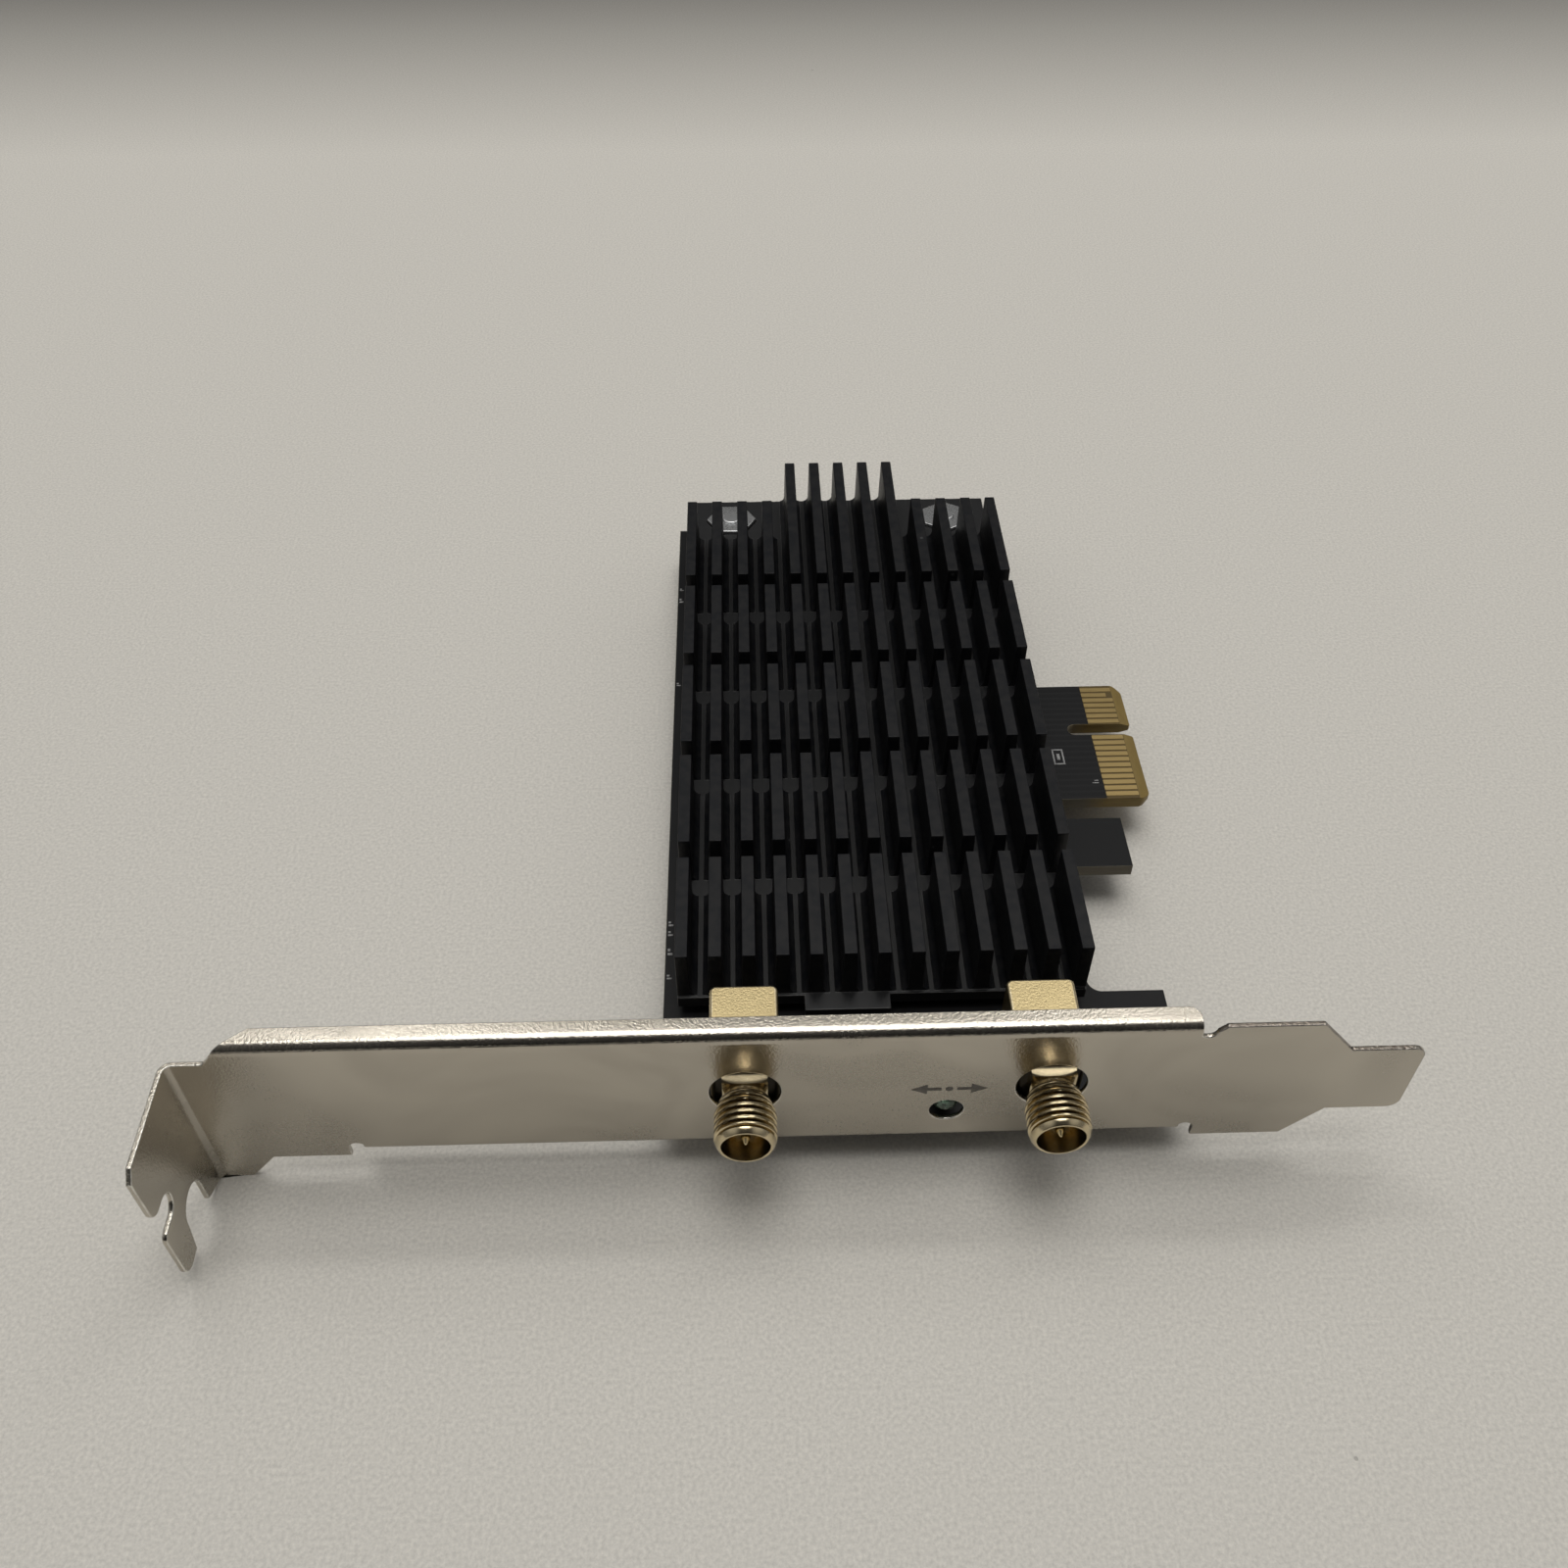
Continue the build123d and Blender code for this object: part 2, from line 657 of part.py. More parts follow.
for side, jack_x in (("left", jack_left), ("right", jack_right)):
    with BuildPart() as jack_body:
        with BuildSketch(board_plane):
            with Locations((jack_x, block_near + block_depth / 2)):
                RectangleRounded(jack_block_width, block_depth, jack_block_corner)
        extrude(amount=jack_block_top)
        chamfer(jack_body.faces().sort_by(Axis.Z)[-1].edges(), jack_block_edge)
        with BuildSketch(face_plane.offset(-block_near - jack_block_corner)):
            with Locations((jack_x, jack_height)):
                Circle(neck_diameter / 2)
        extrude(amount=block_near + jack_block_corner + neck_reach)
        with BuildSketch(face_plane.offset(neck_reach)):
            with Locations((jack_x, jack_height)):
                Circle(thread_diameter / 2)
        extrude(amount=barrel_reach - neck_reach)
        mouth = jack_body.edges().filter_by(GeomType.CIRCLE).sort_by(Axis.Y)[0]
        chamfer(mouth, thread_chamfer)
        with BuildSketch(face_plane.offset(barrel_reach)):
            with Locations((jack_x, jack_height)):
                Circle(socket_diameter / 2)
        extrude(amount=-socket_depth, mode=Mode.SUBTRACT)
        with BuildSketch(face_plane.offset(socket_floor)):
            with Locations((jack_x, jack_height)):
                Circle(insulator_diameter / 2)
        extrude(amount=-socket_floor - jack_core_reach, mode=Mode.SUBTRACT)
        with BuildSketch(board_plane):
            with Locations((jack_x, pin_reach)):
                Rectangle(core_size, core_size)
        extrude(amount=jack_height, mode=Mode.SUBTRACT)
        with BuildSketch(board_plane):
            with Locations((jack_x, pin_reach)):
                with GridLocations(jack_leg_spread, jack_leg_spread, 2, 2):
                    Rectangle(jack_leg, jack_leg)
        extrude(amount=-leg_end)
    jack_body.part.label = f"jack_{side}_body"
    export_step(jack_body.part, f"parts/jack_{side}_body.step")

    with BuildPart() as jack_insulator:
        with BuildSketch(face_plane.offset(socket_floor)):
            with Locations((jack_x, jack_height)):
                Circle(insulator_diameter / 2)
        extrude(amount=-socket_floor - jack_core_reach)
        with BuildSketch(board_plane):
            with Locations((jack_x, pin_reach)):
                Rectangle(core_size, core_size)
        extrude(amount=jack_height)
        with BuildSketch(face_plane.offset(socket_floor)):
            with Locations((jack_x, jack_height)):
                Circle(jack_pin_diameter / 2)
        extrude(amount=-socket_floor - pin_reach - jack_pin_leg / 2, mode=Mode.SUBTRACT)
        with BuildSketch(board_plane):
            with Locations((jack_x, pin_reach)):
                Rectangle(jack_pin_leg, jack_pin_leg)
        extrude(amount=jack_height, mode=Mode.SUBTRACT)
    jack_insulator.part.label = f"jack_{side}_insulator"
    export_step(jack_insulator.part, f"parts/jack_{side}_insulator.step")

    with BuildPart() as jack_pin:
        with BuildSketch(face_plane.offset(barrel_reach - jack_pin_recess)):
            with Locations((jack_x, jack_height)):
                Circle(jack_pin_diameter / 2)
        extrude(amount=jack_pin_recess - barrel_reach - pin_reach - jack_pin_leg / 2)
        tip = jack_pin.edges().filter_by(GeomType.CIRCLE).sort_by(Axis.Y)[0]
        chamfer(tip, jack_pin_taper, jack_pin_point)
        with BuildSketch(level(-leg_end)):
            with Locations((jack_x, pin_reach)):
                Rectangle(jack_pin_leg, jack_pin_leg)
        extrude(amount=leg_end + jack_height)
    jack_pin.part.label = f"jack_{side}_pin"
    export_step(jack_pin.part, f"parts/jack_{side}_pin.step")

# Activity light
led_radius = led_diameter / 2
led_back = led_recess + led_length
led_axis = Axis(place(led_centre, 0, led_height), (0, 1, 0))

with BuildPart() as light_lens:
    with BuildSketch(side_plane.offset(led_centre)):
        with BuildLine():
            CenterArc((led_recess + led_radius, led_height), led_radius, 90, 90)
            Polyline(
                (led_recess + led_radius, led_height + led_radius),
                (led_back - led_flange, led_height + led_radius),
                (led_back - led_flange, led_height + led_flange_diameter / 2),
                (led_back, led_height + led_flange_diameter / 2),
                (led_back, led_height),
                (led_recess, led_height),
            )
        make_face()
    revolve(axis=led_axis)
light_lens.part.label = "light_lens"
export_step(light_lens.part, "parts/light_lens.step")

with BuildPart() as light_leads:
    for shift in (-lead_spread / 2, lead_spread / 2):
        with BuildSketch(side_plane.offset(led_centre + shift)) as lead:
            with BuildLine():
                Polyline(
                    (led_back, led_height + lead_size / 2),
                    (lead_reach + lead_size / 2, led_height + lead_size / 2),
                    (lead_reach + lead_size / 2, -leg_end),
                    (lead_reach - lead_size / 2, -leg_end),
                    (lead_reach - lead_size / 2, led_height - lead_size / 2),
                    (led_back, led_height - lead_size / 2),
                    close=True,
                )
            make_face()
            elbow = (lead_reach + lead_size / 2, led_height + lead_size / 2, 0)
            fillet(lead.vertices().sort_by_distance(elbow)[0], lead_radius)
        extrude(amount=lead_size / 2, both=True)
light_leads.part.label = "light_leads"
export_step(light_leads.part, "parts/light_leads.step")

# Places of the small parts, from the heatsink's middle and the board's edge
radio_x = sink_centre - radio_inset
crystal_x = radio_x - crystal_inset
regulator_x = sink_centre + regulator_inset
inductor_x = regulator_x - inductor_inset
lane_x = board_right - lane_inset

# Radio chip and its thermal pad
with BuildPart() as radio_chip:
    with BuildSketch(board_plane):
        with Locations((radio_x, radio_y)):
            Rectangle(radio_size, radio_size)
    extrude(amount=chip_height)
radio_chip.part.label = "radio_chip"
export_step(radio_chip.part, "parts/radio_chip.step")

with BuildPart() as radio_pad:
    with BuildSketch(level(chip_height)):
        with Locations((radio_x, radio_y)):
            Rectangle(radio_size - pad_inset, radio_size - pad_inset)
    extrude(amount=sink_gap - chip_height)
radio_pad.part.label = "radio_pad"
export_step(radio_pad.part, "parts/radio_pad.step")

# One front-end amplifier behind each jack, with its thermal pad
for side, jack_x in (("left", jack_left), ("right", jack_right)):
    with BuildPart() as amplifier:
        with BuildSketch(board_plane):
            with Locations((jack_x, amplifier_y)):
                Rectangle(amplifier_width, amplifier_depth)
        extrude(amount=chip_height)
    amplifier.part.label = f"amplifier_{side}"
    export_step(amplifier.part, f"parts/amplifier_{side}.step")

    with BuildPart() as amplifier_pad:
        with BuildSketch(level(chip_height)):
            with Locations((jack_x, amplifier_y)):
                Rectangle(amplifier_width - pad_inset, amplifier_depth - pad_inset)
        extrude(amount=sink_gap - chip_height)
    amplifier_pad.part.label = f"amplifier_{side}_pad"
    export_step(amplifier_pad.part, f"parts/amplifier_{side}_pad.step")

# Memory chip
with BuildPart() as memory_chip:
    with BuildSketch(board_plane):
        with Locations((regulator_x, memory_y)):
            Rectangle(memory_width, memory_depth)
    extrude(amount=small_height)
memory_chip.part.label = "memory_chip"
export_step(memory_chip.part, "parts/memory_chip.step")

# Power regulator and its inductor
with BuildPart() as regulator:
    with BuildSketch(board_plane):
        with Locations((regulator_x, power_y)):
            Rectangle(regulator_size, regulator_size)
    extrude(amount=small_height)
regulator.part.label = "regulator"
export_step(regulator.part, "parts/regulator.step")

with BuildPart() as inductor:
    with BuildSketch(board_plane):
        with Locations((inductor_x, power_y)):
            Rectangle(inductor_size, inductor_size)
    extrude(amount=chip_height)
inductor.part.label = "inductor"
export_step(inductor.part, "parts/inductor.step")

# Crystal
with BuildPart() as crystal:
    with BuildSketch(board_plane):
        with Locations((crystal_x, radio_y)):
            Rectangle(crystal_width, crystal_depth)
    extrude(amount=small_height)
crystal.part.label = "crystal"
export_step(crystal.part, "parts/crystal.step")

# Bypass capacitors in two rows beside the radio chip
row_shift = radio_size / 2 + row_gap + small_depth / 2
with BuildPart() as capacitors:
    with BuildSketch(board_plane):
        with Locations((radio_x, radio_y)):
            with GridLocations(small_pitch, 2 * row_shift, small_columns, 2):
                Rectangle(small_width, small_depth)
    extrude(amount=small_height)
capacitors.part.label = "capacitors"
export_step(capacitors.part, "parts/capacitors.step")

# Feedback resistors beside the regulator
with BuildPart() as resistors:
    with BuildSketch(board_plane):
        with Locations((regulator_x, power_y + regulator_size / 2 + row_gap + small_depth / 2)):
            with GridLocations(small_pitch, small_pitch, 2, 1):
                Rectangle(small_width, small_depth)
    extrude(amount=small_height)
resistors.part.label = "resistors"
export_step(resistors.part, "parts/resistors.step")

# The pair of coupling capacitors in the transmit lane
with BuildPart() as lane_capacitors:
    with BuildSketch(board_plane):
        with Locations((lane_x, far_first + 2 * contact_pitch)):
            with GridLocations(small_pitch, 2 * small_depth, 1, 2):
                Rectangle(small_width, small_depth)
    extrude(amount=small_height)
lane_capacitors.part.label = "lane_capacitors"
export_step(lane_capacitors.part, "parts/lane_capacitors.step")
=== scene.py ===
"""Looks of the plug-in wireless network card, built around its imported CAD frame.

The card lies flat, heatsink up. Lengths run along the slot bracket from its screw tab,
reaches run from the bracket's outer face into the card, and heights stand on the board's
component face. Sizes are in millimetres until they are placed in the row frame.
"""
import logging
import math
from dataclasses import dataclass, field
from enum import Enum

import bmesh
import bpy
from mathutils import Matrix, Vector
from mathutils.bvhtree import BVHTree


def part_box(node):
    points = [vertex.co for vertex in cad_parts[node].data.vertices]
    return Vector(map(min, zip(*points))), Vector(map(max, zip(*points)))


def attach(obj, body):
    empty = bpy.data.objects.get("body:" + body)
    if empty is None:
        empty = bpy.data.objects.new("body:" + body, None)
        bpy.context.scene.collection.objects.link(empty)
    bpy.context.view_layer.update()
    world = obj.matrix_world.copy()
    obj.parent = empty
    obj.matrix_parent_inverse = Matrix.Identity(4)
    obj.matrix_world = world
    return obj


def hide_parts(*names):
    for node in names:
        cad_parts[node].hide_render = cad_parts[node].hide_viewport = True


LOG = logging.getLogger("card")
MM = 0.001
BODY = "root"
# Attribute giving each point's share of painted shade: the jack's thread roots and neck groove, darkened
# where shade falls.
RECESS_SHADE = "groove"
MERGE = 1e-6
ROUND_STEPS = 72
STRAY_SHARE = 0.7
FIN_LEVELS = 24
FIN_CROWDING = 1.4
THREAD_LEVELS = 100
THREAD_FLANK = 0.6
CORNER_STEPS = 3
DOT_STEPS = 24
EDGE = "edge"
SHEARED = "sheared"
FLAT_ANGLE = math.radians(0.5)
EDGE_ANGLE = 35.0
GRAIN_SPAN = (0.3, 0.7)

Colour = tuple[float, float, float]
Ring = tuple[float, float]

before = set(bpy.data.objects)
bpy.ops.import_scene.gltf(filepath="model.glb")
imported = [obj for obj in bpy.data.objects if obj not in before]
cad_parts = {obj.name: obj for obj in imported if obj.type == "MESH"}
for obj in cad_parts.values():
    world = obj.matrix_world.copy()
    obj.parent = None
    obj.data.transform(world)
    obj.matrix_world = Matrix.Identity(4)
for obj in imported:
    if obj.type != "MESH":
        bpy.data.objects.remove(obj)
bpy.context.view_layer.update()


class Side(Enum):
    """The two antenna jacks, by the end of the bracket that they stand nearer to."""

    LEFT = "left"
    RIGHT = "right"


class BoardFace(Enum):
    """The board's two faces: the sign of their outward direction."""

    UPPER = 1
    LOWER = -1


@dataclass(frozen=True)
class CardFrame:
    """Where the card's lengths, reaches and heights start in the row frame, in metres."""

    tab_x: float
    face_y: float
    board_z: float

    @classmethod
    def read(cls, board_setback: float = 0.75) -> "CardFrame":
        """Finds the datums from the CAD nodes.

        Args:
            board_setback: how far the board starts behind the bracket's outer face, in mm.

        Returns:
            The card's datums.
        """
        bracket_low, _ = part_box("bracket")
        board_low, board_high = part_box("circuit_board")
        return cls(bracket_low.x, board_low.y - board_setback * MM, board_high.z)

    def place(self, length: float, reach: float, height: float) -> Vector:
        """A point in the row frame.

        Args:
            length: distance along the bracket from the tab's outer face, in mm.
            reach: distance from the bracket's outer face into the card, in mm.
            height: height over the board's component face, in mm.

        Returns:
            The point, in metres.
        """
        return Vector((self.tab_x + length * MM, self.face_y + reach * MM, self.board_z + height * MM))


CARD = CardFrame.read()


class Tree:
    """A node tree with short calls to add nodes and join them."""

    def __init__(self, tree: bpy.types.NodeTree) -> None:
        """Wraps a tree.

        Args:
            tree: a shader or geometry node tree.
        """
        self.tree = tree

    def add(self, kind: str, feeds: dict | None = None, **settings: object) -> bpy.types.Node:
        """Adds one node.

        Args:
            kind: the node type's Blender name.
            feeds: values or output sockets for the node's inputs, by name or place.
            **settings: the node's own properties.

        Returns:
            The new node.
        """
        node = self.tree.nodes.new(kind)
        for name, value in settings.items():
            setattr(node, name, value)
        for key, value in (feeds or {}).items():
            if isinstance(value, bpy.types.NodeSocket):
                self.tree.links.new(value, node.inputs[key])
            else:
                node.inputs[key].default_value = value
        return node

    def math(self, operation: str, *values: object) -> bpy.types.NodeSocket:
        """Adds a Math node.

        Args:
            operation: the operation's Blender name.
            *values: numbers or sockets, in order.

        Returns:
            The result socket.
        """
        return self.add("ShaderNodeMath", dict(enumerate(values)), operation=operation).outputs[0]

    def span(
        self, value: object, low: float, high: float, start: float = 0.0, end: float = 1.0
    ) -> bpy.types.NodeSocket:
        """Maps a value from one range to another, held at both ends.

        Args:
            value: a number or socket.
            low: the value that gives start.
            high: the value that gives end.
            start: the result at low.
            end: the result at high.

        Returns:
            The result socket.
        """
        feeds = {"Value": value, "From Min": low, "From Max": high, "To Min": start, "To Max": end}
        return self.add("ShaderNodeMapRange", feeds).outputs["Result"]

    def mix(self, factor: object, first: object, second: object) -> bpy.types.NodeSocket:
        """Mixes two colours.

        Args:
            factor: the share of the second colour.
            first: a colour or socket.
            second: a colour or socket.

        Returns:
            The mixed colour's socket.
        """
        node = self.add("ShaderNodeMix", data_type="RGBA")
        for key, value in zip((0, 6, 7), (factor, first, second)):
            if isinstance(value, bpy.types.NodeSocket):
                self.tree.links.new(value, node.inputs[key])
            elif key == 0:
                node.inputs[key].default_value = value
            else:
                node.inputs[key].default_value = (*value, 1.0)
        return node.outputs[2]

    def parts(self, kind: str, output: str) -> list[bpy.types.NodeSocket]:
        """Adds a node and splits one of its vectors.

        Args:
            kind: the node type's Blender name.
            output: the vector's name.

        Returns:
            The vector's three sockets.
        """
        vector = self.add(kind).outputs[output]
        return list(self.add("ShaderNodeSeparateXYZ", {0: vector}).outputs)

    def move(self, geometry: bpy.types.NodeSocket, *place: object) -> bpy.types.NodeSocket:
        """Sets where a geometry's points are.

        Args:
            geometry: the geometry's socket.
            *place: the three parts of each point's new place.

        Returns:
            The moved geometry's socket.
        """
        position = self.add("ShaderNodeCombineXYZ", dict(enumerate(place))).outputs[0]
        return self.add("GeometryNodeSetPosition", {"Geometry": geometry, "Position": position}).outputs[0]

    def link(self, source: bpy.types.NodeSocket, target: bpy.types.NodeSocket) -> None:
        """Joins an output to an input."""
        self.tree.links.new(source, target)


class SurfaceEffects:
    """Shader node groups that several finishes share, each built once."""

    def __init__(self) -> None:
        """Starts with no group built."""
        self.built: dict[str, bpy.types.NodeTree] = {}

    def start(
        self, name: str, inputs: dict[str, tuple[str, object]], output: str
    ) -> tuple[Tree, bpy.types.NodeOutputs, bpy.types.NodeSocket]:
        """Opens a group with named sockets.

        Args:
            name: the group's name.
            inputs: socket kind and default value by input name.
            output: the name of its one output.

        Returns:
            The group's tree, its inputs and the point's place on its piece.
        """
        group = bpy.data.node_groups.new(name, "ShaderNodeTree")
        for label, (kind, value) in inputs.items():
            group.interface.new_socket(label, in_out="INPUT", socket_type=kind).default_value = value
        group.interface.new_socket(output, in_out="OUTPUT", socket_type="NodeSocketFloat")
        self.built[name] = group
        tree = Tree(group)
        place = tree.add("ShaderNodeTexCoord").outputs["Object"]
        return tree, tree.add("NodeGroupInput").outputs, place

    def grain(self) -> bpy.types.NodeTree:
        """Fine grain that may be drawn out along one direction."""
        if "fine_grain" not in self.built:
            sockets = {
                "Scale": ("NodeSocketFloat", 1000.0),
                "Stretch": ("NodeSocketVector", (1.0, 1.0, 1.0)),
            }
            tree, given, place = self.start("fine_grain", sockets, "Grain")
            mapped = tree.add("ShaderNodeMapping", {"Vector": place, "Scale": given["Stretch"]})
            noise = tree.add(
                "ShaderNodeTexNoise",
                {"Vector": mapped.outputs[0], "Scale": given["Scale"], "Detail": 3.0, "Roughness": 0.6},
            )
            tree.add("NodeGroupOutput", {"Grain": noise.outputs[0]})
        return self.built["fine_grain"]

    def smudges(self) -> bpy.types.NodeTree:
        """Broad soft blotches, such as handling leaves on bare metal."""
        if "smudges" not in self.built:
            tree, given, place = self.start("smudges", {"Scale": ("NodeSocketFloat", 60.0)}, "Smudge")
            noise = tree.add(
                "ShaderNodeTexNoise",
                {"Vector": place, "Scale": given["Scale"], "Detail": 2.0, "Distortion": 1.2},
            )
            tree.add("NodeGroupOutput", {"Smudge": tree.span(noise.outputs[0], 0.35, 0.7)})
        return self.built["smudges"]

    def edge_wear(self) -> bpy.types.NodeTree:
        """Bright rubbed edges: the softened edge faces, broken up by noise."""
        if "edge_wear" not in self.built:
            tree, given, place = self.start("edge_wear", {"Scale": ("NodeSocketFloat", 900.0)}, "Wear")
            edge = tree.add("ShaderNodeAttribute", attribute_name=EDGE).outputs["Fac"]
            noise = tree.add("ShaderNodeTexNoise", {"Vector": place, "Scale": given["Scale"], "Detail": 2.0})
            broken = tree.span(noise.outputs[0], 0.35, 0.62, 0.35, 1.0)
            tree.add("NodeGroupOutput", {"Wear": tree.math("MULTIPLY", edge, broken)})
        return self.built["edge_wear"]

    def specks(self) -> bpy.types.NodeTree:
        """Sparse small specks of dust."""
        if "specks" not in self.built:
            sockets = {"Scale": ("NodeSocketFloat", 250.0), "Size": ("NodeSocketFloat", 0.06)}
            tree, given, place = self.start("specks", sockets, "Speck")
            cells = tree.add("ShaderNodeTexVoronoi", {"Vector": place, "Scale": given["Scale"]})
            near = tree.math("LESS_THAN", cells.outputs["Distance"], given["Size"])
            draw = tree.add("ShaderNodeSeparateColor", {0: cells.outputs["Color"]}).outputs[0]
            chosen = tree.math("GREATER_THAN", draw, 0.72)
            tree.add("NodeGroupOutput", {"Speck": tree.math("MULTIPLY", near, chosen)})
        return self.built["specks"]


EFFECTS = SurfaceEffects()


def use(tree: Tree, group: bpy.types.NodeTree, **values: object) -> bpy.types.NodeSocket:
    """Places a shared effect in a material.

    Args:
        tree: the material's tree.
        group: the effect.
        **values: its inputs, by name.

    Returns:
        The effect's output.
    """
    node = tree.add("ShaderNodeGroup", node_tree=group)
    for name, value in values.items():
        node.inputs[name].default_value = value
    return node.outputs[0]


def blank_material(name: str) -> tuple[bpy.types.Material, Tree, bpy.types.Node]:
    """A new material with only a Principled shader.

    Args:
        name: the finish's name.

    Returns:
        The material, its tree and its shader.
    """
    material = bpy.data.materials.new(name)
    material.use_nodes = True
    tree = Tree(material.node_tree)
    shader = next(n for n in material.node_tree.nodes if n.type == "BSDF_PRINCIPLED")
    return material, tree, shader


def set_bump(tree: Tree, shader: bpy.types.Node, strength: float, depth: float, height: object) -> None:
    """Gives a shader fine relief.

    Args:
        tree: the material's tree.
        shader: its Principled shader.
        strength: the relief's share.
        depth: the relief's depth, in mm.
        height: the socket that it follows.
    """
    bump = tree.add("ShaderNodeBump", {"Strength": strength, "Distance": depth * MM, "Height": height})
    tree.link(bump.outputs[0], shader.inputs["Normal"])


@dataclass(frozen=True)
class MetalFinish:
    """A metal with grain, smudges and rubbed edges, and optional painted shade in a recess or in thread
    roots.
    """

    name: str
    colour: Colour
    worn: Colour
    roughness: float
    swing: float = 0.08
    grain_scale: float = 3000.0
    stretch: Colour = (1.0, 1.0, 1.0)
    bump: float = 0.15
    bump_depth: float = 0.01
    smudge: float = 0.1
    smudge_scale: float = 70.0
    speck: float = 0.0
    burr: float = 0.0
    # Painted shade near the bracket: where it ends, in mm from the bracket's outer face, or None.
    painted_shade_reach: float | None = None
    # Painted shade: the dark colour laid into thread roots and the neck groove, or None.
    root: Colour | None = None
    dull_from: float | None = None
    dull: Colour = (0.11, 0.085, 0.07)
    dirt: Colour = (0.08, 0.06, 0.05)
    painted_shade: Colour = (0.012, 0.011, 0.011)
    painted_shade_fade: float = 0.3
    painted_shade_share: float = 0.97
    speck_scale: float = 110.0
    speck_size: float = 0.018
    burr_scale: float = 2800.0

    def make(self) -> bpy.types.Material:
        """Builds the material.

        Returns:
            The finished material.
        """
        material, tree, shader = blank_material(self.name)
        grain = use(tree, EFFECTS.grain(), Scale=self.grain_scale, Stretch=self.stretch)
        smudge = use(tree, EFFECTS.smudges(), Scale=self.smudge_scale)
        wear = use(tree, EFFECTS.edge_wear())
        dull = tuple(channel * (1 - self.smudge) for channel in self.colour)
        colour = tree.mix(wear, tree.mix(smudge, self.colour, dull), self.worn)
        if self.speck:
            speck = use(tree, EFFECTS.specks(), Scale=self.speck_scale, Size=self.speck_size)
            colour = tree.mix(tree.math("MULTIPLY", speck, self.speck), colour, self.dirt)
        # Painted shade: faces nearer the bracket than the reach go near-black, for the dark gap behind the
        # bracket's hole.
        if self.painted_shade_reach is not None:
            reach = tree.parts("ShaderNodeTexCoord", "Object")[1]
            inner = CARD.place(0, self.painted_shade_reach, 0).y
            painted_shade = tree.span(reach, inner, inner + self.painted_shade_fade * MM, self.painted_shade_share, 0.0)
            colour = tree.mix(painted_shade, colour, self.painted_shade)
        sheared = tree.add("ShaderNodeAttribute", attribute_name=SHEARED).outputs["Fac"]
        if self.dull_from is not None:
            length = tree.parts("ShaderNodeTexCoord", "Object")[0]
            past = tree.math("GREATER_THAN", length, CARD.place(self.dull_from, 0, 0).x)
            cut = tree.math("MULTIPLY", tree.math("MAXIMUM", sheared, wear), past)
            broken = tree.math("MULTIPLY", cut, tree.span(grain, 0.3, 0.55, 0.95, 0.6))
            colour = tree.mix(broken, colour, self.dull)
        # Painted shade in the thread roots and the neck groove, by the stored share.
        if self.root is not None:
            groove = tree.add("ShaderNodeAttribute", attribute_name=RECESS_SHADE).outputs["Fac"]
            colour = tree.mix(tree.span(groove, 0.4, 1.0), colour, self.root)
        tree.link(colour, shader.inputs["Base Color"])
        if self.burr:
            torn = use(tree, EFFECTS.grain(), Scale=self.burr_scale)
            torn = tree.math("MULTIPLY", tree.math("MULTIPLY", torn, sheared), self.burr)
            grain = tree.math("ADD", grain, torn)
        half = self.swing / 2
        rough = tree.span(grain, *GRAIN_SPAN, self.roughness - half, self.roughness + half)
        film = tree.math("MULTIPLY", smudge, self.smudge / 2)
        tree.link(tree.math("ADD", rough, film), shader.inputs["Roughness"])
        shader.inputs["Metallic"].default_value = 1.0
        set_bump(tree, shader, self.bump, self.bump_depth, grain)
        return material


@dataclass(frozen=True)
class CoatFinish:
    """A matte or moulded coat: anodising, plastic, ceramic, paint or rubber."""

    name: str
    colour: Colour
    worn: Colour
    roughness: float
    swing: float = 0.1
    grain_scale: float = 4000.0
    stretch: Colour = (1.0, 1.0, 1.0)
    bump: float = 0.2
    bump_depth: float = 0.01
    tint: float = 0.15
    specular: float = 0.5
    speck: float = 0.0

    def make(self) -> bpy.types.Material:
        """Builds the material.

        Returns:
            The finished material.
        """
        material, tree, shader = blank_material(self.name)
        grain = use(tree, EFFECTS.grain(), Scale=self.grain_scale, Stretch=self.stretch)
        wear = use(tree, EFFECTS.edge_wear())
        lighter = tuple(channel * (1 + self.tint) for channel in self.colour)
        colour = tree.mix(wear, tree.mix(grain, self.colour, lighter), self.worn)
        if self.speck:
            speck = use(tree, EFFECTS.specks())
            dust = tuple(channel + self.speck for channel in self.colour)
            colour = tree.mix(speck, colour, dust)
        tree.link(colour, shader.inputs["Base Color"])
        half = self.swing / 2
        rough = tree.span(grain, *GRAIN_SPAN, self.roughness - half, self.roughness + half)
        tree.link(rough, shader.inputs["Roughness"])
        shader.inputs["Specular IOR Level"].default_value = self.specular
        set_bump(tree, shader, self.bump, self.bump_depth, grain)
        return material


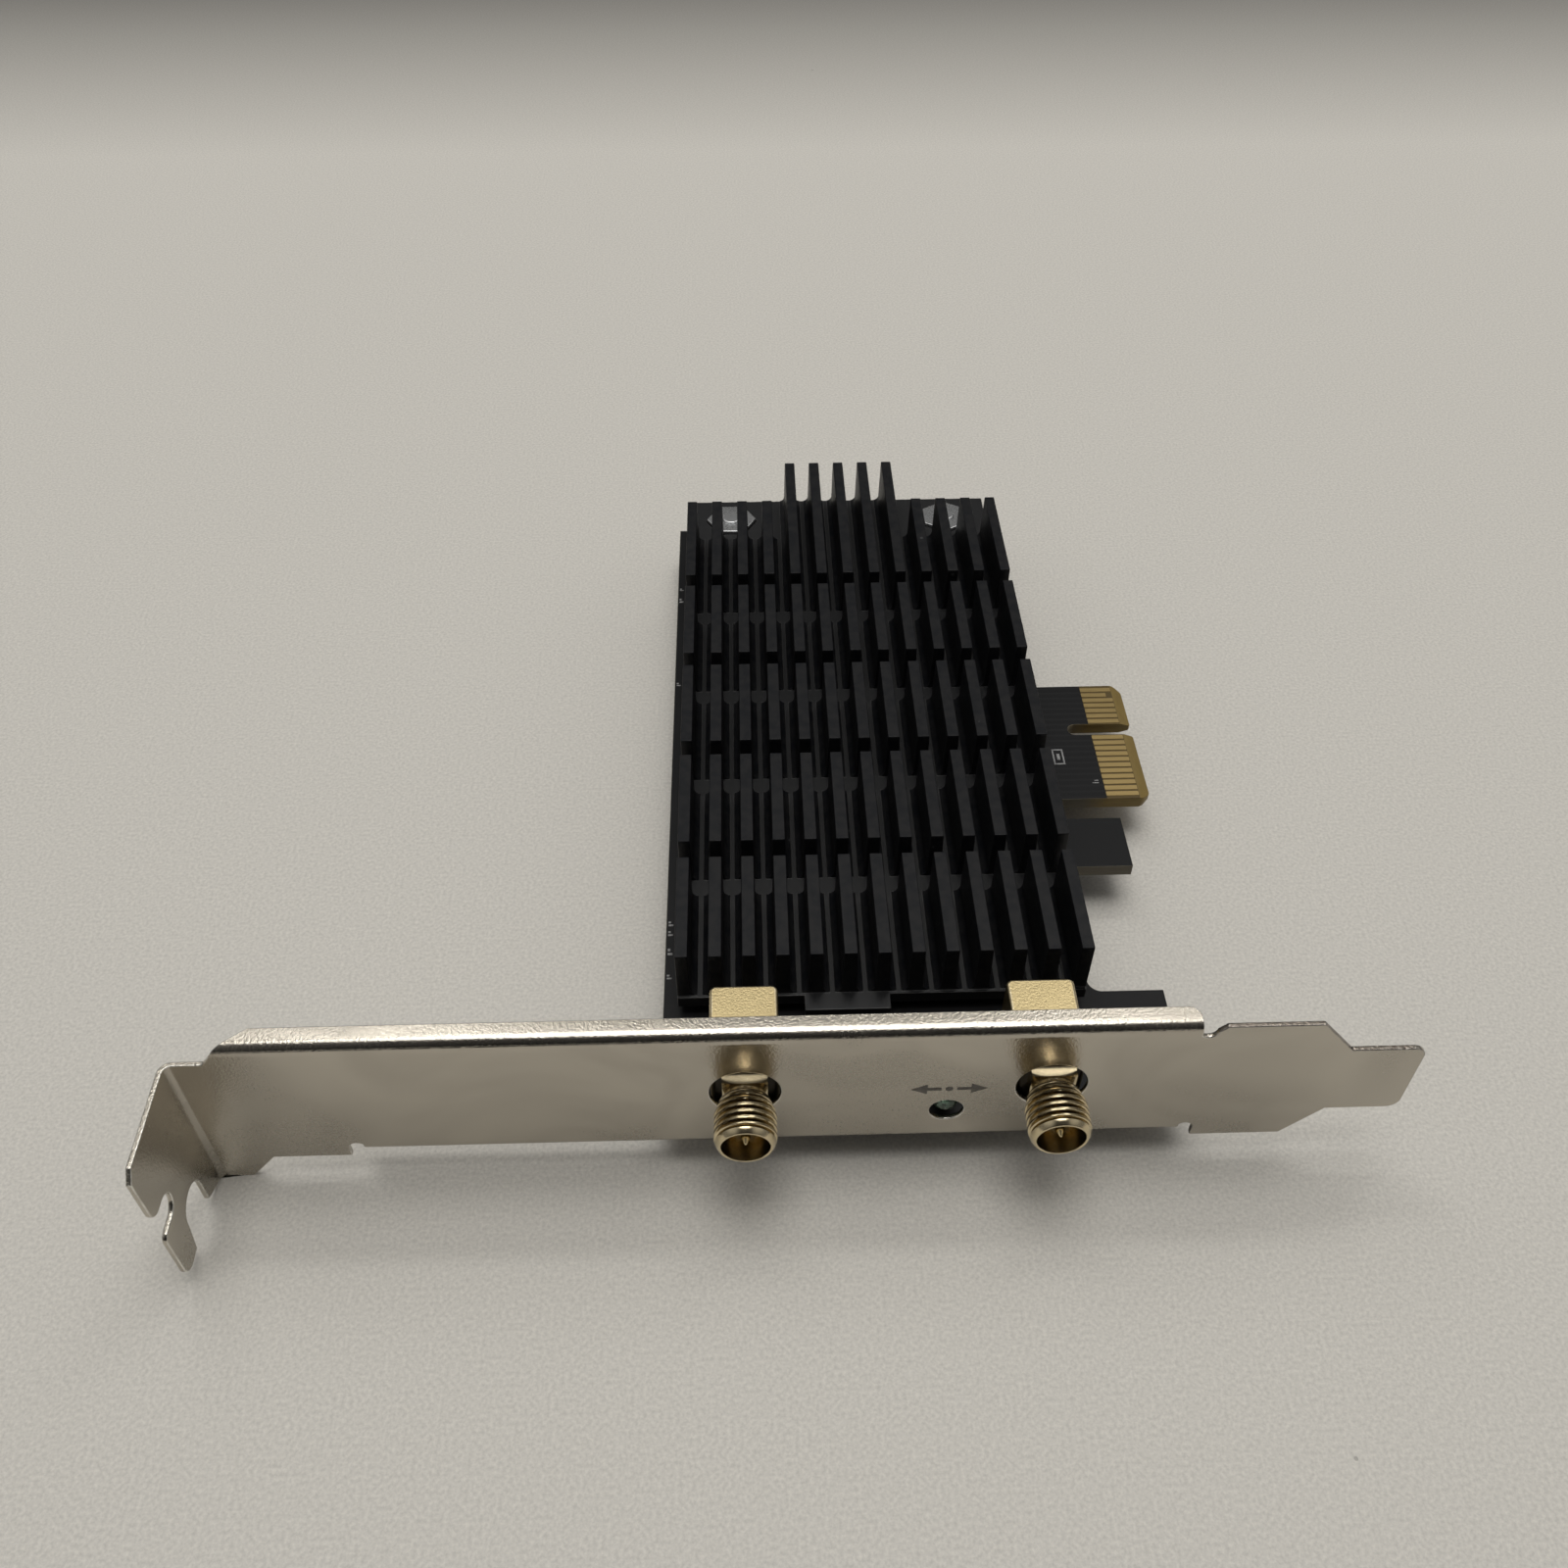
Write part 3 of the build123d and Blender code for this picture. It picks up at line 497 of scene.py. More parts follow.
@dataclass(frozen=True)
class BoardFinish:
    """Black solder mask on both faces, with bare laminate at the edges and the connector."""

    mask: Colour = (0.007, 0.0072, 0.008)
    trace: Colour = (0.012, 0.0122, 0.013)
    laminate: Colour = (0.26, 0.185, 0.06)
    layer: Colour = (0.165, 0.115, 0.04)
    gap: Colour = (0.11, 0.078, 0.03)
    routed: Colour = (0.105, 0.094, 0.07)
    mask_end: float = 99.25
    gap_end: float = 103.3
    connector_low: float = 44.5
    connector_high: float = 65.8
    trace_pitch: float = 1.0
    trace_start: float = 93.2
    trace_low: float = 45.15
    trace_high: float = 65.2
    trace_share: float = 0.16
    amber_reach: float = 3.0
    roughness: Ring = (0.38, 0.5)
    specular: float = 0.2
    bump: float = 0.25
    bump_depth: float = 0.02
    grain_scale: float = 2600.0
    grain_relief: float = 0.4
    weave_scale: float = 420.0
    weave_stretch: Colour = (1.0, 1.0, 9.0)
    mask_tint: float = 1.2
    routed_tint: float = 1.5
    level: float = 0.9

    def make(self) -> bpy.types.Material:
        """Builds the material.

        Returns:
            The finished material.
        """
        material, tree, shader = blank_material("board_mask")
        spot = tree.parts("ShaderNodeTexCoord", "Object")
        facing = tree.parts("ShaderNodeNewGeometry", "True Normal")
        flat = tree.math("GREATER_THAN", tree.math("ABSOLUTE", facing[2]), self.level)
        near_end = CARD.place(self.mask_end, self.connector_low, 0)
        far_end = CARD.place(self.mask_end, self.connector_high, 0)
        past_near = tree.math("GREATER_THAN", spot[1], near_end.y)
        in_reach = tree.math("MULTIPLY", past_near, tree.math("LESS_THAN", spot[1], far_end.y))
        bare = tree.math("MULTIPLY", tree.math("GREATER_THAN", spot[0], near_end.x), in_reach)
        grain = use(tree, EFFECTS.grain(), Scale=self.grain_scale)
        weave = use(tree, EFFECTS.grain(), Scale=self.weave_scale, Stretch=self.weave_stretch)

        # Faint copper lines under the mask, running in from the connector.
        first = CARD.place(self.trace_start, self.trace_low, 0)
        last = CARD.place(self.mask_end, self.trace_high, 0)
        step = tree.math("PINGPONG", tree.math("SUBTRACT", spot[1], first.y), self.trace_pitch / 2 * MM)
        line = tree.math("LESS_THAN", step, self.trace_pitch * self.trace_share * MM)
        for axis, low, high in ((0, first.x, last.x), (1, first.y, last.y)):
            line = tree.math("MULTIPLY", line, tree.math("GREATER_THAN", spot[axis], low))
            line = tree.math("MULTIPLY", line, tree.math("LESS_THAN", spot[axis], high))
        line = tree.math("MULTIPLY", line, flat)

        lighter_mask = tuple(channel * self.mask_tint for channel in self.mask)
        masked = tree.mix(line, tree.mix(grain, self.mask, lighter_mask), self.trace)
        bare_face = tree.mix(weave, self.laminate, self.layer)
        past_gaps = tree.math("GREATER_THAN", spot[0], CARD.place(self.gap_end, 0, 0).x)
        face = tree.mix(bare, masked, tree.mix(past_gaps, self.gap, bare_face))
        towards_end = tree.span(spot[0], near_end.x - self.amber_reach * MM, near_end.x)
        amber = tree.math("MULTIPLY", towards_end, in_reach)
        lighter_cut = tuple(channel * self.routed_tint for channel in self.routed)
        edge = tree.mix(amber, tree.mix(weave, self.routed, lighter_cut), bare_face)
        tree.link(tree.mix(flat, edge, face), shader.inputs["Base Color"])
        rough = tree.span(grain, *GRAIN_SPAN, *self.roughness)
        tree.link(rough, shader.inputs["Roughness"])
        shader.inputs["Specular IOR Level"].default_value = self.specular
        relief = tree.math("ADD", tree.math("MULTIPLY", grain, self.grain_relief), line)
        set_bump(tree, shader, self.bump, self.bump_depth, relief)
        return material


@dataclass(frozen=True)
class LensFinish:
    """Green-tinted clear resin."""

    colour: Colour = (0.11, 0.17, 0.125)
    deep_share: float = 0.8
    cloud_scale: float = 900.0
    roughness: float = 0.08
    clear: float = 0.55
    refraction: float = 1.5

    def make(self) -> bpy.types.Material:
        """Builds the material.

        Returns:
            The finished material.
        """
        material, tree, shader = blank_material("lens_green")
        cloud = use(tree, EFFECTS.grain(), Scale=self.cloud_scale)
        deep = tuple(channel * self.deep_share for channel in self.colour)
        tree.link(tree.mix(cloud, self.colour, deep), shader.inputs["Base Color"])
        rough = tree.span(cloud, *GRAIN_SPAN, self.roughness, self.roughness * 2)
        tree.link(rough, shader.inputs["Roughness"])
        shader.inputs["Transmission Weight"].default_value = self.clear
        shader.inputs["IOR"].default_value = self.refraction
        return material


class Finishes:
    """Every finish on the card, made once and kept by name."""

    def __init__(self) -> None:
        """Makes the materials."""
        self.bracket_steel = MetalFinish(
            "bracket_nickel", (0.555, 0.515, 0.445), (0.8, 0.78, 0.73), 0.18, grain_scale=3600.0, bump=1.0,
            bump_depth=0.03, smudge=0.2, smudge_scale=55.0, speck=0.4, burr=3.0, dull_from=98.2,
        ).make()
        self.mark_grey = CoatFinish("engraved_grey", (0.13, 0.12, 0.105), (0.2, 0.19, 0.17), 0.55).make()
        # The block's face behind the bracket takes near-black painted shade, for the dark gap seen in the
        # hole.
        self.jack_block = MetalFinish(
            "jack_block_gold", (0.57, 0.46, 0.25), (0.72, 0.62, 0.42), 0.3, grain_scale=4200.0,
            bump=1.0, bump_depth=0.03, smudge=0.12, speck=0.4, painted_shade_reach=1.03,
        ).make()
        # The thread's root colour is painted shade for its roots and neck groove.
        self.jack_thread = MetalFinish(
            "jack_thread_gold", (0.70, 0.59, 0.385), (0.85, 0.75, 0.52), 0.17, grain_scale=7000.0, bump=0.2,
            smudge=0.15, smudge_scale=400.0, root=(0.06, 0.042, 0.022),
        ).make()
        self.pin_gold = MetalFinish("pin_gold", (0.86, 0.70, 0.4), (0.95, 0.85, 0.6), 0.2).make()
        self.contact_gold = MetalFinish(
            "contact_gold", (0.47, 0.345, 0.15), (0.55, 0.42, 0.21), 0.34, grain_scale=5000.0,
            stretch=(0.2, 1.0, 1.0), bump=0.25, smudge=0.08,
        ).make()
        self.nut_steel = MetalFinish(
            "nut_zinc", (0.66, 0.67, 0.68), (0.85, 0.86, 0.87), 0.27, grain_scale=4000.0, bump=0.3,
        ).make()
        self.screw_steel = MetalFinish(
            "screw_zinc", (0.62, 0.63, 0.64), (0.85, 0.86, 0.87), 0.3, grain_scale=4000.0, bump=0.3,
        ).make()
        self.lead_tin = MetalFinish(
            "tinned_joint", (0.74, 0.74, 0.75), (0.85, 0.85, 0.86), 0.26, grain_scale=2500.0, bump=0.4,
        ).make()
        self.crystal_can = MetalFinish("crystal_can", (0.7, 0.68, 0.63), (0.85, 0.84, 0.8), 0.3).make()
        self.heatsink_black = CoatFinish(
            "heatsink_anodised", (0.0015, 0.0025, 0.0047), (0.012, 0.012, 0.013), 0.45, swing=0.12,
            grain_scale=5200.0, stretch=(1.0, 0.25, 1.0), bump=0.3, bump_depth=0.008, tint=0.3, speck=0.05,
            specular=0.2,
        ).make()
        # Painted light: a lighter, glossier copy of the anodised finish for the base plate, standing in for
        # the lit strip along the valley floors.
        self.heatsink_lit_floor = CoatFinish(
            "heatsink_valleys", (0.006, 0.0062, 0.007), (0.03, 0.03, 0.03), 0.4, swing=0.12,
            grain_scale=4200.0, stretch=(1.0, 0.25, 1.0), bump=0.3, bump_depth=0.008, tint=0.4, specular=0.45,
        ).make()
        self.chip_black = CoatFinish("chip_moulding", (0.02, 0.02, 0.021), (0.05, 0.05, 0.05), 0.6).make()
        self.pad_grey = CoatFinish("thermal_pad", (0.3, 0.31, 0.33), (0.36, 0.37, 0.39), 0.8).make()
        self.ferrite_grey = CoatFinish("ferrite", (0.09, 0.088, 0.085), (0.16, 0.155, 0.15), 0.7).make()
        self.capacitor_tan = CoatFinish("ceramic_tan", (0.42, 0.27, 0.14), (0.5, 0.34, 0.2), 0.5).make()
        self.resistor_black = CoatFinish("resistor_body", (0.03, 0.03, 0.032), (0.3, 0.3, 0.3), 0.4).make()
        self.insulator_white = CoatFinish(
            "insulator_white", (0.78, 0.77, 0.72), (0.82, 0.81, 0.77), 0.45,
        ).make()
        self.silk_white = CoatFinish("silk_white", (0.32, 0.32, 0.32), (0.4, 0.4, 0.4), 0.6).make()
        self.board_mask = BoardFinish().make()
        self.lens_green = LensFinish().make()


def settle(piece: bpy.types.Object) -> bpy.types.Object:
    """Turns a piece's live modifiers into plain mesh.

    Args:
        piece: a mesh object in the scene.

    Returns:
        The same object, with no modifiers.
    """
    depsgraph = bpy.context.evaluated_depsgraph_get()
    mesh = bpy.data.meshes.new_from_object(
        piece.evaluated_get(depsgraph), preserve_all_data_layers=True, depsgraph=depsgraph
    )
    old = piece.data
    piece.modifiers.clear()
    piece.data = mesh
    bpy.data.meshes.remove(old)
    mesh.name = piece.name
    return piece


def piece_from(name: str, shape: bmesh.types.BMesh, material: bpy.types.Material) -> bpy.types.Object:
    """Makes an object from a shape and frees the shape.

    Args:
        name: the piece's name.
        shape: its mesh, in the row frame.
        material: its finish.

    Returns:
        The new object, smooth shaded.
    """
    mesh = bpy.data.meshes.new(name)
    shape.to_mesh(mesh)
    shape.free()
    mesh.materials.append(material)
    mesh.polygons.foreach_set("use_smooth", [True] * len(mesh.polygons))
    piece = bpy.data.objects.new(name, mesh)
    bpy.context.scene.collection.objects.link(piece)
    return piece


def remove_piece(piece: bpy.types.Object) -> None:
    """Deletes a working object and its mesh."""
    mesh = piece.data
    bpy.data.objects.remove(piece)
    bpy.data.meshes.remove(mesh)


def join_flats(shape: bmesh.types.BMesh) -> None:
    """Joins a shape's flat neighbouring faces."""
    bmesh.ops.dissolve_limit(shape, angle_limit=FLAT_ANGLE, verts=shape.verts, edges=shape.edges)


def node_shape(node: str) -> bmesh.types.BMesh:
    """A merged copy of a CAD node's mesh, with its flat faces joined.

    Args:
        node: the CAD node's name.

    Returns:
        The copy.
    """
    shape = bmesh.new()
    shape.from_mesh(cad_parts[node].data)
    bmesh.ops.remove_doubles(shape, verts=shape.verts, dist=MERGE)
    join_flats(shape)
    return shape


def soften(
    piece: bpy.types.Object, width: float, angle: float = EDGE_ANGLE, segments: int = 2
) -> bpy.types.Object:
    """Rounds a piece's sharp edges and marks the new faces for the edge finish.

    Args:
        piece: a mesh object with one material.
        width: how wide the rounding is, in mm.
        angle: edges sharper than this are rounded, in degrees.
        segments: faces across each rounding.

    Returns:
        The same piece.
    """
    piece.data.materials.append(piece.data.materials[0])
    corners = [vert.co.copy() for vert in piece.data.vertices]
    surface = BVHTree.FromPolygons(corners, [tuple(face.vertices) for face in piece.data.polygons])
    bevel = piece.modifiers.new("soft_edges", "BEVEL")
    bevel.width = width * MM
    bevel.segments = segments
    bevel.limit_method = "ANGLE"
    bevel.angle_limit = math.radians(angle)
    bevel.use_clamp_overlap = False
    bevel.material = 1
    normals = piece.modifiers.new("even_normals", "WEIGHTED_NORMAL")
    normals.keep_sharp = True
    settle(piece)
    mesh = piece.data
    for vert in mesh.vertices:
        spot, _, _, gap = surface.find_nearest(vert.co)
        if gap > STRAY_SHARE * width * MM:
            vert.co = spot
    edge = mesh.attributes.new(EDGE, "FLOAT", "FACE")
    edge.data.foreach_set("value", [float(face.material_index == 1) for face in mesh.polygons])
    mesh.polygons.foreach_set("material_index", [0] * len(mesh.polygons))
    mesh.materials.pop(index=1)
    return piece


def cut_away(shape: bmesh.types.BMesh, point: Vector, outward: Vector) -> None:
    """Cuts a closed shape at a plane, drops the outer part and closes the cut.

    Args:
        shape: the shape, changed in place.
        point: a point of the plane.
        outward: the plane's direction, towards the part that goes.
    """
    parts = shape.verts[:] + shape.edges[:] + shape.faces[:]
    cut = bmesh.ops.bisect_plane(shape, geom=parts, plane_co=point, plane_no=outward, clear_outer=True)
    rim = [item for item in cut["geom_cut"] if isinstance(item, bmesh.types.BMEdge)]
    bmesh.ops.triangle_fill(shape, edges=rim, use_dissolve=True, normal=outward)
    bmesh.ops.recalc_face_normals(shape, faces=shape.faces)


def lathe(shape: bmesh.types.BMesh, rings: list[Ring], centre: Vector) -> list[list[bmesh.types.BMVert]]:
    """Turns a profile about an axis along Y and adds it to a shape.

    Args:
        shape: the shape that grows.
        rings: radius and reach from the centre of each ring, in mm; a radius of 0 closes an end.
        centre: where the axis starts, in the row frame.

    Returns:
        The points of each ring.
    """
    loops = []
    for radius, reach in rings:
        middle = centre + Vector((0, reach * MM, 0))
        if radius == 0:
            loops.append([shape.verts.new(middle)])
            continue
        turns = [2 * math.pi * step / ROUND_STEPS - math.pi for step in range(ROUND_STEPS)]
        loops.append(
            [shape.verts.new(middle + Vector((math.cos(t), 0, math.sin(t))) * radius * MM) for t in turns]
        )
    for first, second in zip(loops, loops[1:]):
        for step in range(ROUND_STEPS):
            after = (step + 1) % ROUND_STEPS
            corners = [first[step % len(first)], first[after % len(first)]]
            corners += [second[after % len(second)], second[step % len(second)]]
            shape.faces.new(list(dict.fromkeys(corners)))
    return loops


def close_shape(shape: bmesh.types.BMesh) -> None:
    """Merges a shape's doubles and turns its faces outwards."""
    bmesh.ops.remove_doubles(shape, verts=shape.verts, dist=MERGE)
    bmesh.ops.recalc_face_normals(shape, faces=shape.faces)


def hand_over(piece: bpy.types.Object, slot: str, *nodes: str) -> bpy.types.Object:
    """Lets a finished piece ride on the card and stand for its CAD nodes.

    Args:
        piece: the finished piece.
        slot: not used.
        *nodes: the CAD nodes that it stands for.

    Returns:
        The same piece.
    """
    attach(piece, BODY)
    if nodes:
        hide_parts(*nodes)
    LOG.info("%s: %d faces", piece.name, len(piece.data.polygons))
    return piece


class NodeShape:
    """A Geometry Nodes tree with named inputs, grown into plain meshes."""

    def __init__(self, name: str, inputs: dict[str, str]) -> None:
        """Opens the tree.

        Args:
            name: the tree's name.
            inputs: socket kind by input name; every tree also takes a mesh and a material.
        """
        self.group = bpy.data.node_groups.new(name, "GeometryNodeTree")
        sockets = {"Geometry": "NodeSocketGeometry", **inputs, "Finish": "NodeSocketMaterial"}
        self.keys = {
            label: self.group.interface.new_socket(label, in_out="INPUT", socket_type=kind).identifier
            for label, kind in sockets.items()
        }
        self.group.interface.new_socket("Geometry", in_out="OUTPUT", socket_type="NodeSocketGeometry")
        self.tree = Tree(self.group)
        self.given = self.tree.add("NodeGroupInput").outputs

    def close(self, geometry: bpy.types.NodeSocket) -> None:
        """Ends the tree in plain mesh with its finish set.

        Args:
            geometry: what the tree has made.
        """
        plain = self.tree.add("GeometryNodeRealizeInstances", {0: geometry})
        feeds = {"Geometry": plain.outputs[0], "Material": self.given["Finish"]}
        dressed = self.tree.add("GeometryNodeSetMaterial", feeds)
        self.tree.add("NodeGroupOutput", {0: dressed.outputs[0]})

    def grow(
        self, name: str, finish: bpy.types.Material, seed: bpy.types.Mesh | None = None, **values: object
    ) -> bpy.types.Object:
        """Runs the tree and keeps its result as a plain mesh.

        Args:
            name: the new piece's name.
            finish: the material that the tree sets.
            seed: the mesh that the tree starts from, if it needs one.
            **values: the tree's inputs, with spaces in their names written as underscores.

        Returns:
            The new piece.
        """
        piece = bpy.data.objects.new(name, seed or bpy.data.meshes.new(name))
        modifier = piece.modifiers.new("shape", "NODES")
        modifier.node_group = self.group
        modifier[self.keys["Finish"]] = finish
        for label, value in values.items():
            modifier[self.keys[label.replace("_", " ")]] = value
        bpy.context.scene.collection.objects.link(piece)
        return settle(piece)


def thread_tree() -> NodeShape:
    """A tube with a helical ridge, its axis along -Y from the origin.

    Returns:
        The tree.
    """
    sizes = ("Root Radius", "Depth", "Pitch", "Length", "Run In", "Run Out")
    made = NodeShape("helical_thread", {size: "NodeSocketFloat" for size in sizes})
    tree, given = made.tree, made.given
    grid = tree.add(
        "GeometryNodeMeshGrid",
        {
            "Size X": 2 * math.pi,
            "Size Y": given["Length"],
            "Vertices X": ROUND_STEPS + 1,
            "Vertices Y": THREAD_LEVELS,
        },
    )
    spot = tree.parts("GeometryNodeInputPosition", "Position")
    along = tree.math("ADD", spot[1], tree.math("MULTIPLY", given["Length"], 0.5))
    turn = tree.math("DIVIDE", spot[0], 2 * math.pi)
    phase = tree.math("FRACT", tree.math("SUBTRACT", tree.math("DIVIDE", along, given["Pitch"]), turn))
    ridge = tree.math("SUBTRACT", 1.0, tree.math("ABSOLUTE", tree.math("MULTIPLY_ADD", phase, 2.0, -1.0)))
    crest = tree.add(
        "ShaderNodeMapRange", {"Value": ridge, "From Max": THREAD_FLANK}, interpolation_type="SMOOTHSTEP"
    ).outputs["Result"]
    left = tree.math("SUBTRACT", given["Length"], along)
    run_in = tree.math("DIVIDE", along, given["Run In"])
    run_out = tree.math("DIVIDE", left, given["Run Out"])
    rise = tree.math("MINIMUM", tree.math("MINIMUM", run_in, run_out), 1.0)
    lift = tree.math("MULTIPLY", crest, rise)
    radius = tree.math("MULTIPLY_ADD", lift, given["Depth"], given["Root Radius"])
    moved = tree.move(
        grid.outputs[0],
        tree.math("MULTIPLY", radius, tree.math("COSINE", spot[0])),
        tree.math("MULTIPLY", along, -1.0),
        tree.math("MULTIPLY", radius, tree.math("SINE", spot[0])),
    )
    # Stores the share of painted shade: full in the roots, none on the crests.
    marked = tree.add(
        "GeometryNodeStoreNamedAttribute",
        {"Geometry": moved, "Name": RECESS_SHADE, "Value": tree.math("SUBTRACT", 1.0, crest)},
        data_type="FLOAT",
        domain="POINT",
    )
    joined = tree.add("GeometryNodeMergeByDistance", {"Geometry": marked.outputs[0], "Distance": MERGE})
    made.close(joined.outputs[0])
    return made


def fin_tree() -> NodeShape:
    """A row of tapered fins with round roots on a base, held inside the heatsink's width.

    Returns:
        The tree.
    """
    sizes = (
        "First X", "Pitch", "Near", "Length", "Base", "Rooted", "Height", "Root Width", "Top Width",
        "Valley Radius", "Low X", "High X",
    )
    inputs = {size: "NodeSocketFloat" for size in sizes}
    made = NodeShape("tapered_fins", {"Count": "NodeSocketInt", **inputs})
    tree, given = made.tree, made.given
    block = tree.add("GeometryNodeMeshCube", {"Size": (1.0, 1.0, 1.0), "Vertices Z": FIN_LEVELS})
    spot = tree.parts("GeometryNodeInputPosition", "Position")
    whole = tree.math("ADD", given["Height"], given["Rooted"])
    share = tree.math("POWER", tree.math("ADD", spot[2], 0.5), FIN_CROWDING)
    up = tree.math("SUBTRACT", tree.math("MULTIPLY", share, whole), given["Rooted"])
    change = tree.math("SUBTRACT", given["Top Width"], given["Root Width"])
    narrowing = tree.math("DIVIDE", change, given["Height"])
    width = tree.math("MULTIPLY_ADD", up, narrowing, given["Root Width"])
    radius = given["Valley Radius"]
    drop = tree.math("MAXIMUM", tree.math("SUBTRACT", radius, tree.math("MAXIMUM", up, 0.0)), 0.0)
    level = tree.math("SUBTRACT", tree.math("MULTIPLY", radius, radius), tree.math("MULTIPLY", drop, drop))
    flare = tree.math("SUBTRACT", radius, tree.math("SQRT", tree.math("MAXIMUM", level, 0.0)))
    width = tree.math("MULTIPLY_ADD", flare, 2.0, width)
    fin = tree.move(
        block.outputs[0],
        tree.math("MULTIPLY", spot[0], width),
        tree.math("MULTIPLY_ADD", tree.math("ADD", spot[1], 0.5), given["Length"], given["Near"]),
        tree.math("ADD", up, given["Base"]),
    )
    first = tree.add("ShaderNodeCombineXYZ", {0: given["First X"]})
    step = tree.add("ShaderNodeCombineXYZ", {0: given["Pitch"]})
    row = tree.add(
        "GeometryNodeMeshLine",
        {"Count": given["Count"], "Start Location": first.outputs[0], "Offset": step.outputs[0]},
    )
    fins = tree.add("GeometryNodeInstanceOnPoints", {"Points": row.outputs[0], "Instance": fin})
    plain = tree.add("GeometryNodeRealizeInstances", {0: fins.outputs[0]})
    place = tree.parts("GeometryNodeInputPosition", "Position")
    held = tree.math("MAXIMUM", tree.math("MINIMUM", place[0], given["High X"]), given["Low X"])
    made.close(tree.move(plain.outputs[0], held, place[1], place[2]))
    return made


def contact_tree() -> NodeShape:
    """A row of thin contact strips with rounded corners, one of them short.

    Returns:
        The tree.
    """
    sizes = ("Pitch", "Length", "Width", "Corner", "Thickness", "Short Share")
    inputs = {"Start": "NodeSocketVector", "Count": "NodeSocketInt", "Short Index": "NodeSocketInt"}
    made = NodeShape("edge_contacts", {**inputs, **{size: "NodeSocketFloat" for size in sizes}})
    tree, given = made.tree, made.given
    outline = tree.add(
        "GeometryNodeCurvePrimitiveQuadrilateral", {"Width": given["Length"], "Height": given["Width"]}
    )
    rounded = tree.add(
        "GeometryNodeFilletCurve",
        {"Curve": outline.outputs[0], "Radius": given["Corner"], "Count": CORNER_STEPS},
        mode="POLY",
    )
    shift = tree.add("ShaderNodeCombineXYZ", {0: tree.math("MULTIPLY", given["Length"], 0.5)})
    moved = tree.add(
        "GeometryNodeTransform", {"Geometry": rounded.outputs[0], "Translation": shift.outputs[0]}
    )
    sheet = tree.add("GeometryNodeFillCurve", {"Curve": moved.outputs[0]}, mode="NGONS")
    raised = tree.add(
        "GeometryNodeExtrudeMesh", {"Mesh": sheet.outputs[0], "Offset Scale": given["Thickness"]}
    )
    back = tree.add("GeometryNodeFlipFaces", {"Mesh": sheet.outputs[0]})
    strip = tree.add("GeometryNodeJoinGeometry", {0: raised.outputs[0]})
    tree.link(back.outputs[0], strip.inputs[0])
    solid = tree.add("GeometryNodeMergeByDistance", {"Geometry": strip.outputs[0], "Distance": MERGE})
    step = tree.add("ShaderNodeCombineXYZ", {1: given["Pitch"]})
    row = tree.add(
        "GeometryNodeMeshLine",
        {"Count": given["Count"], "Start Location": given["Start"], "Offset": step.outputs[0]},
    )
    index = tree.add("GeometryNodeInputIndex").outputs[0]
    gap = tree.math("ABSOLUTE", tree.math("SUBTRACT", index, given["Short Index"]))
    is_short = tree.math("LESS_THAN", gap, 0.5)
    cut = tree.math("SUBTRACT", given["Short Share"], 1.0)
    share = tree.math("MULTIPLY_ADD", is_short, cut, 1.0)
    scale = tree.add("ShaderNodeCombineXYZ", {0: share, 1: 1.0, 2: 1.0})
    strips = tree.add(
        "GeometryNodeInstanceOnPoints",
        {"Points": row.outputs[0], "Instance": solid.outputs[0], "Scale": scale.outputs[0]},
    )
    made.close(strips.outputs[0])
    return made


def copies_tree() -> NodeShape:
    """Copies of a shape, one on each point of the mesh that the tree starts from.

    Returns:
        The tree.
    """
    made = NodeShape("placed_copies", {"Shape": "NodeSocketObject"})
    tree, given = made.tree, made.given
    shape = tree.add("GeometryNodeObjectInfo", {"Object": given["Shape"]})
    copies = tree.add(
        "GeometryNodeInstanceOnPoints",
        {"Points": given["Geometry"], "Instance": shape.outputs["Geometry"]},
    )
    made.close(copies.outputs[0])
    return made


def points_mesh(name: str, points: list[Vector]) -> bpy.types.Mesh:
    """A mesh of loose points for the copies tree."""
    mesh = bpy.data.meshes.new(name)
    mesh.from_pydata([tuple(point) for point in points], [], [])
    return mesh


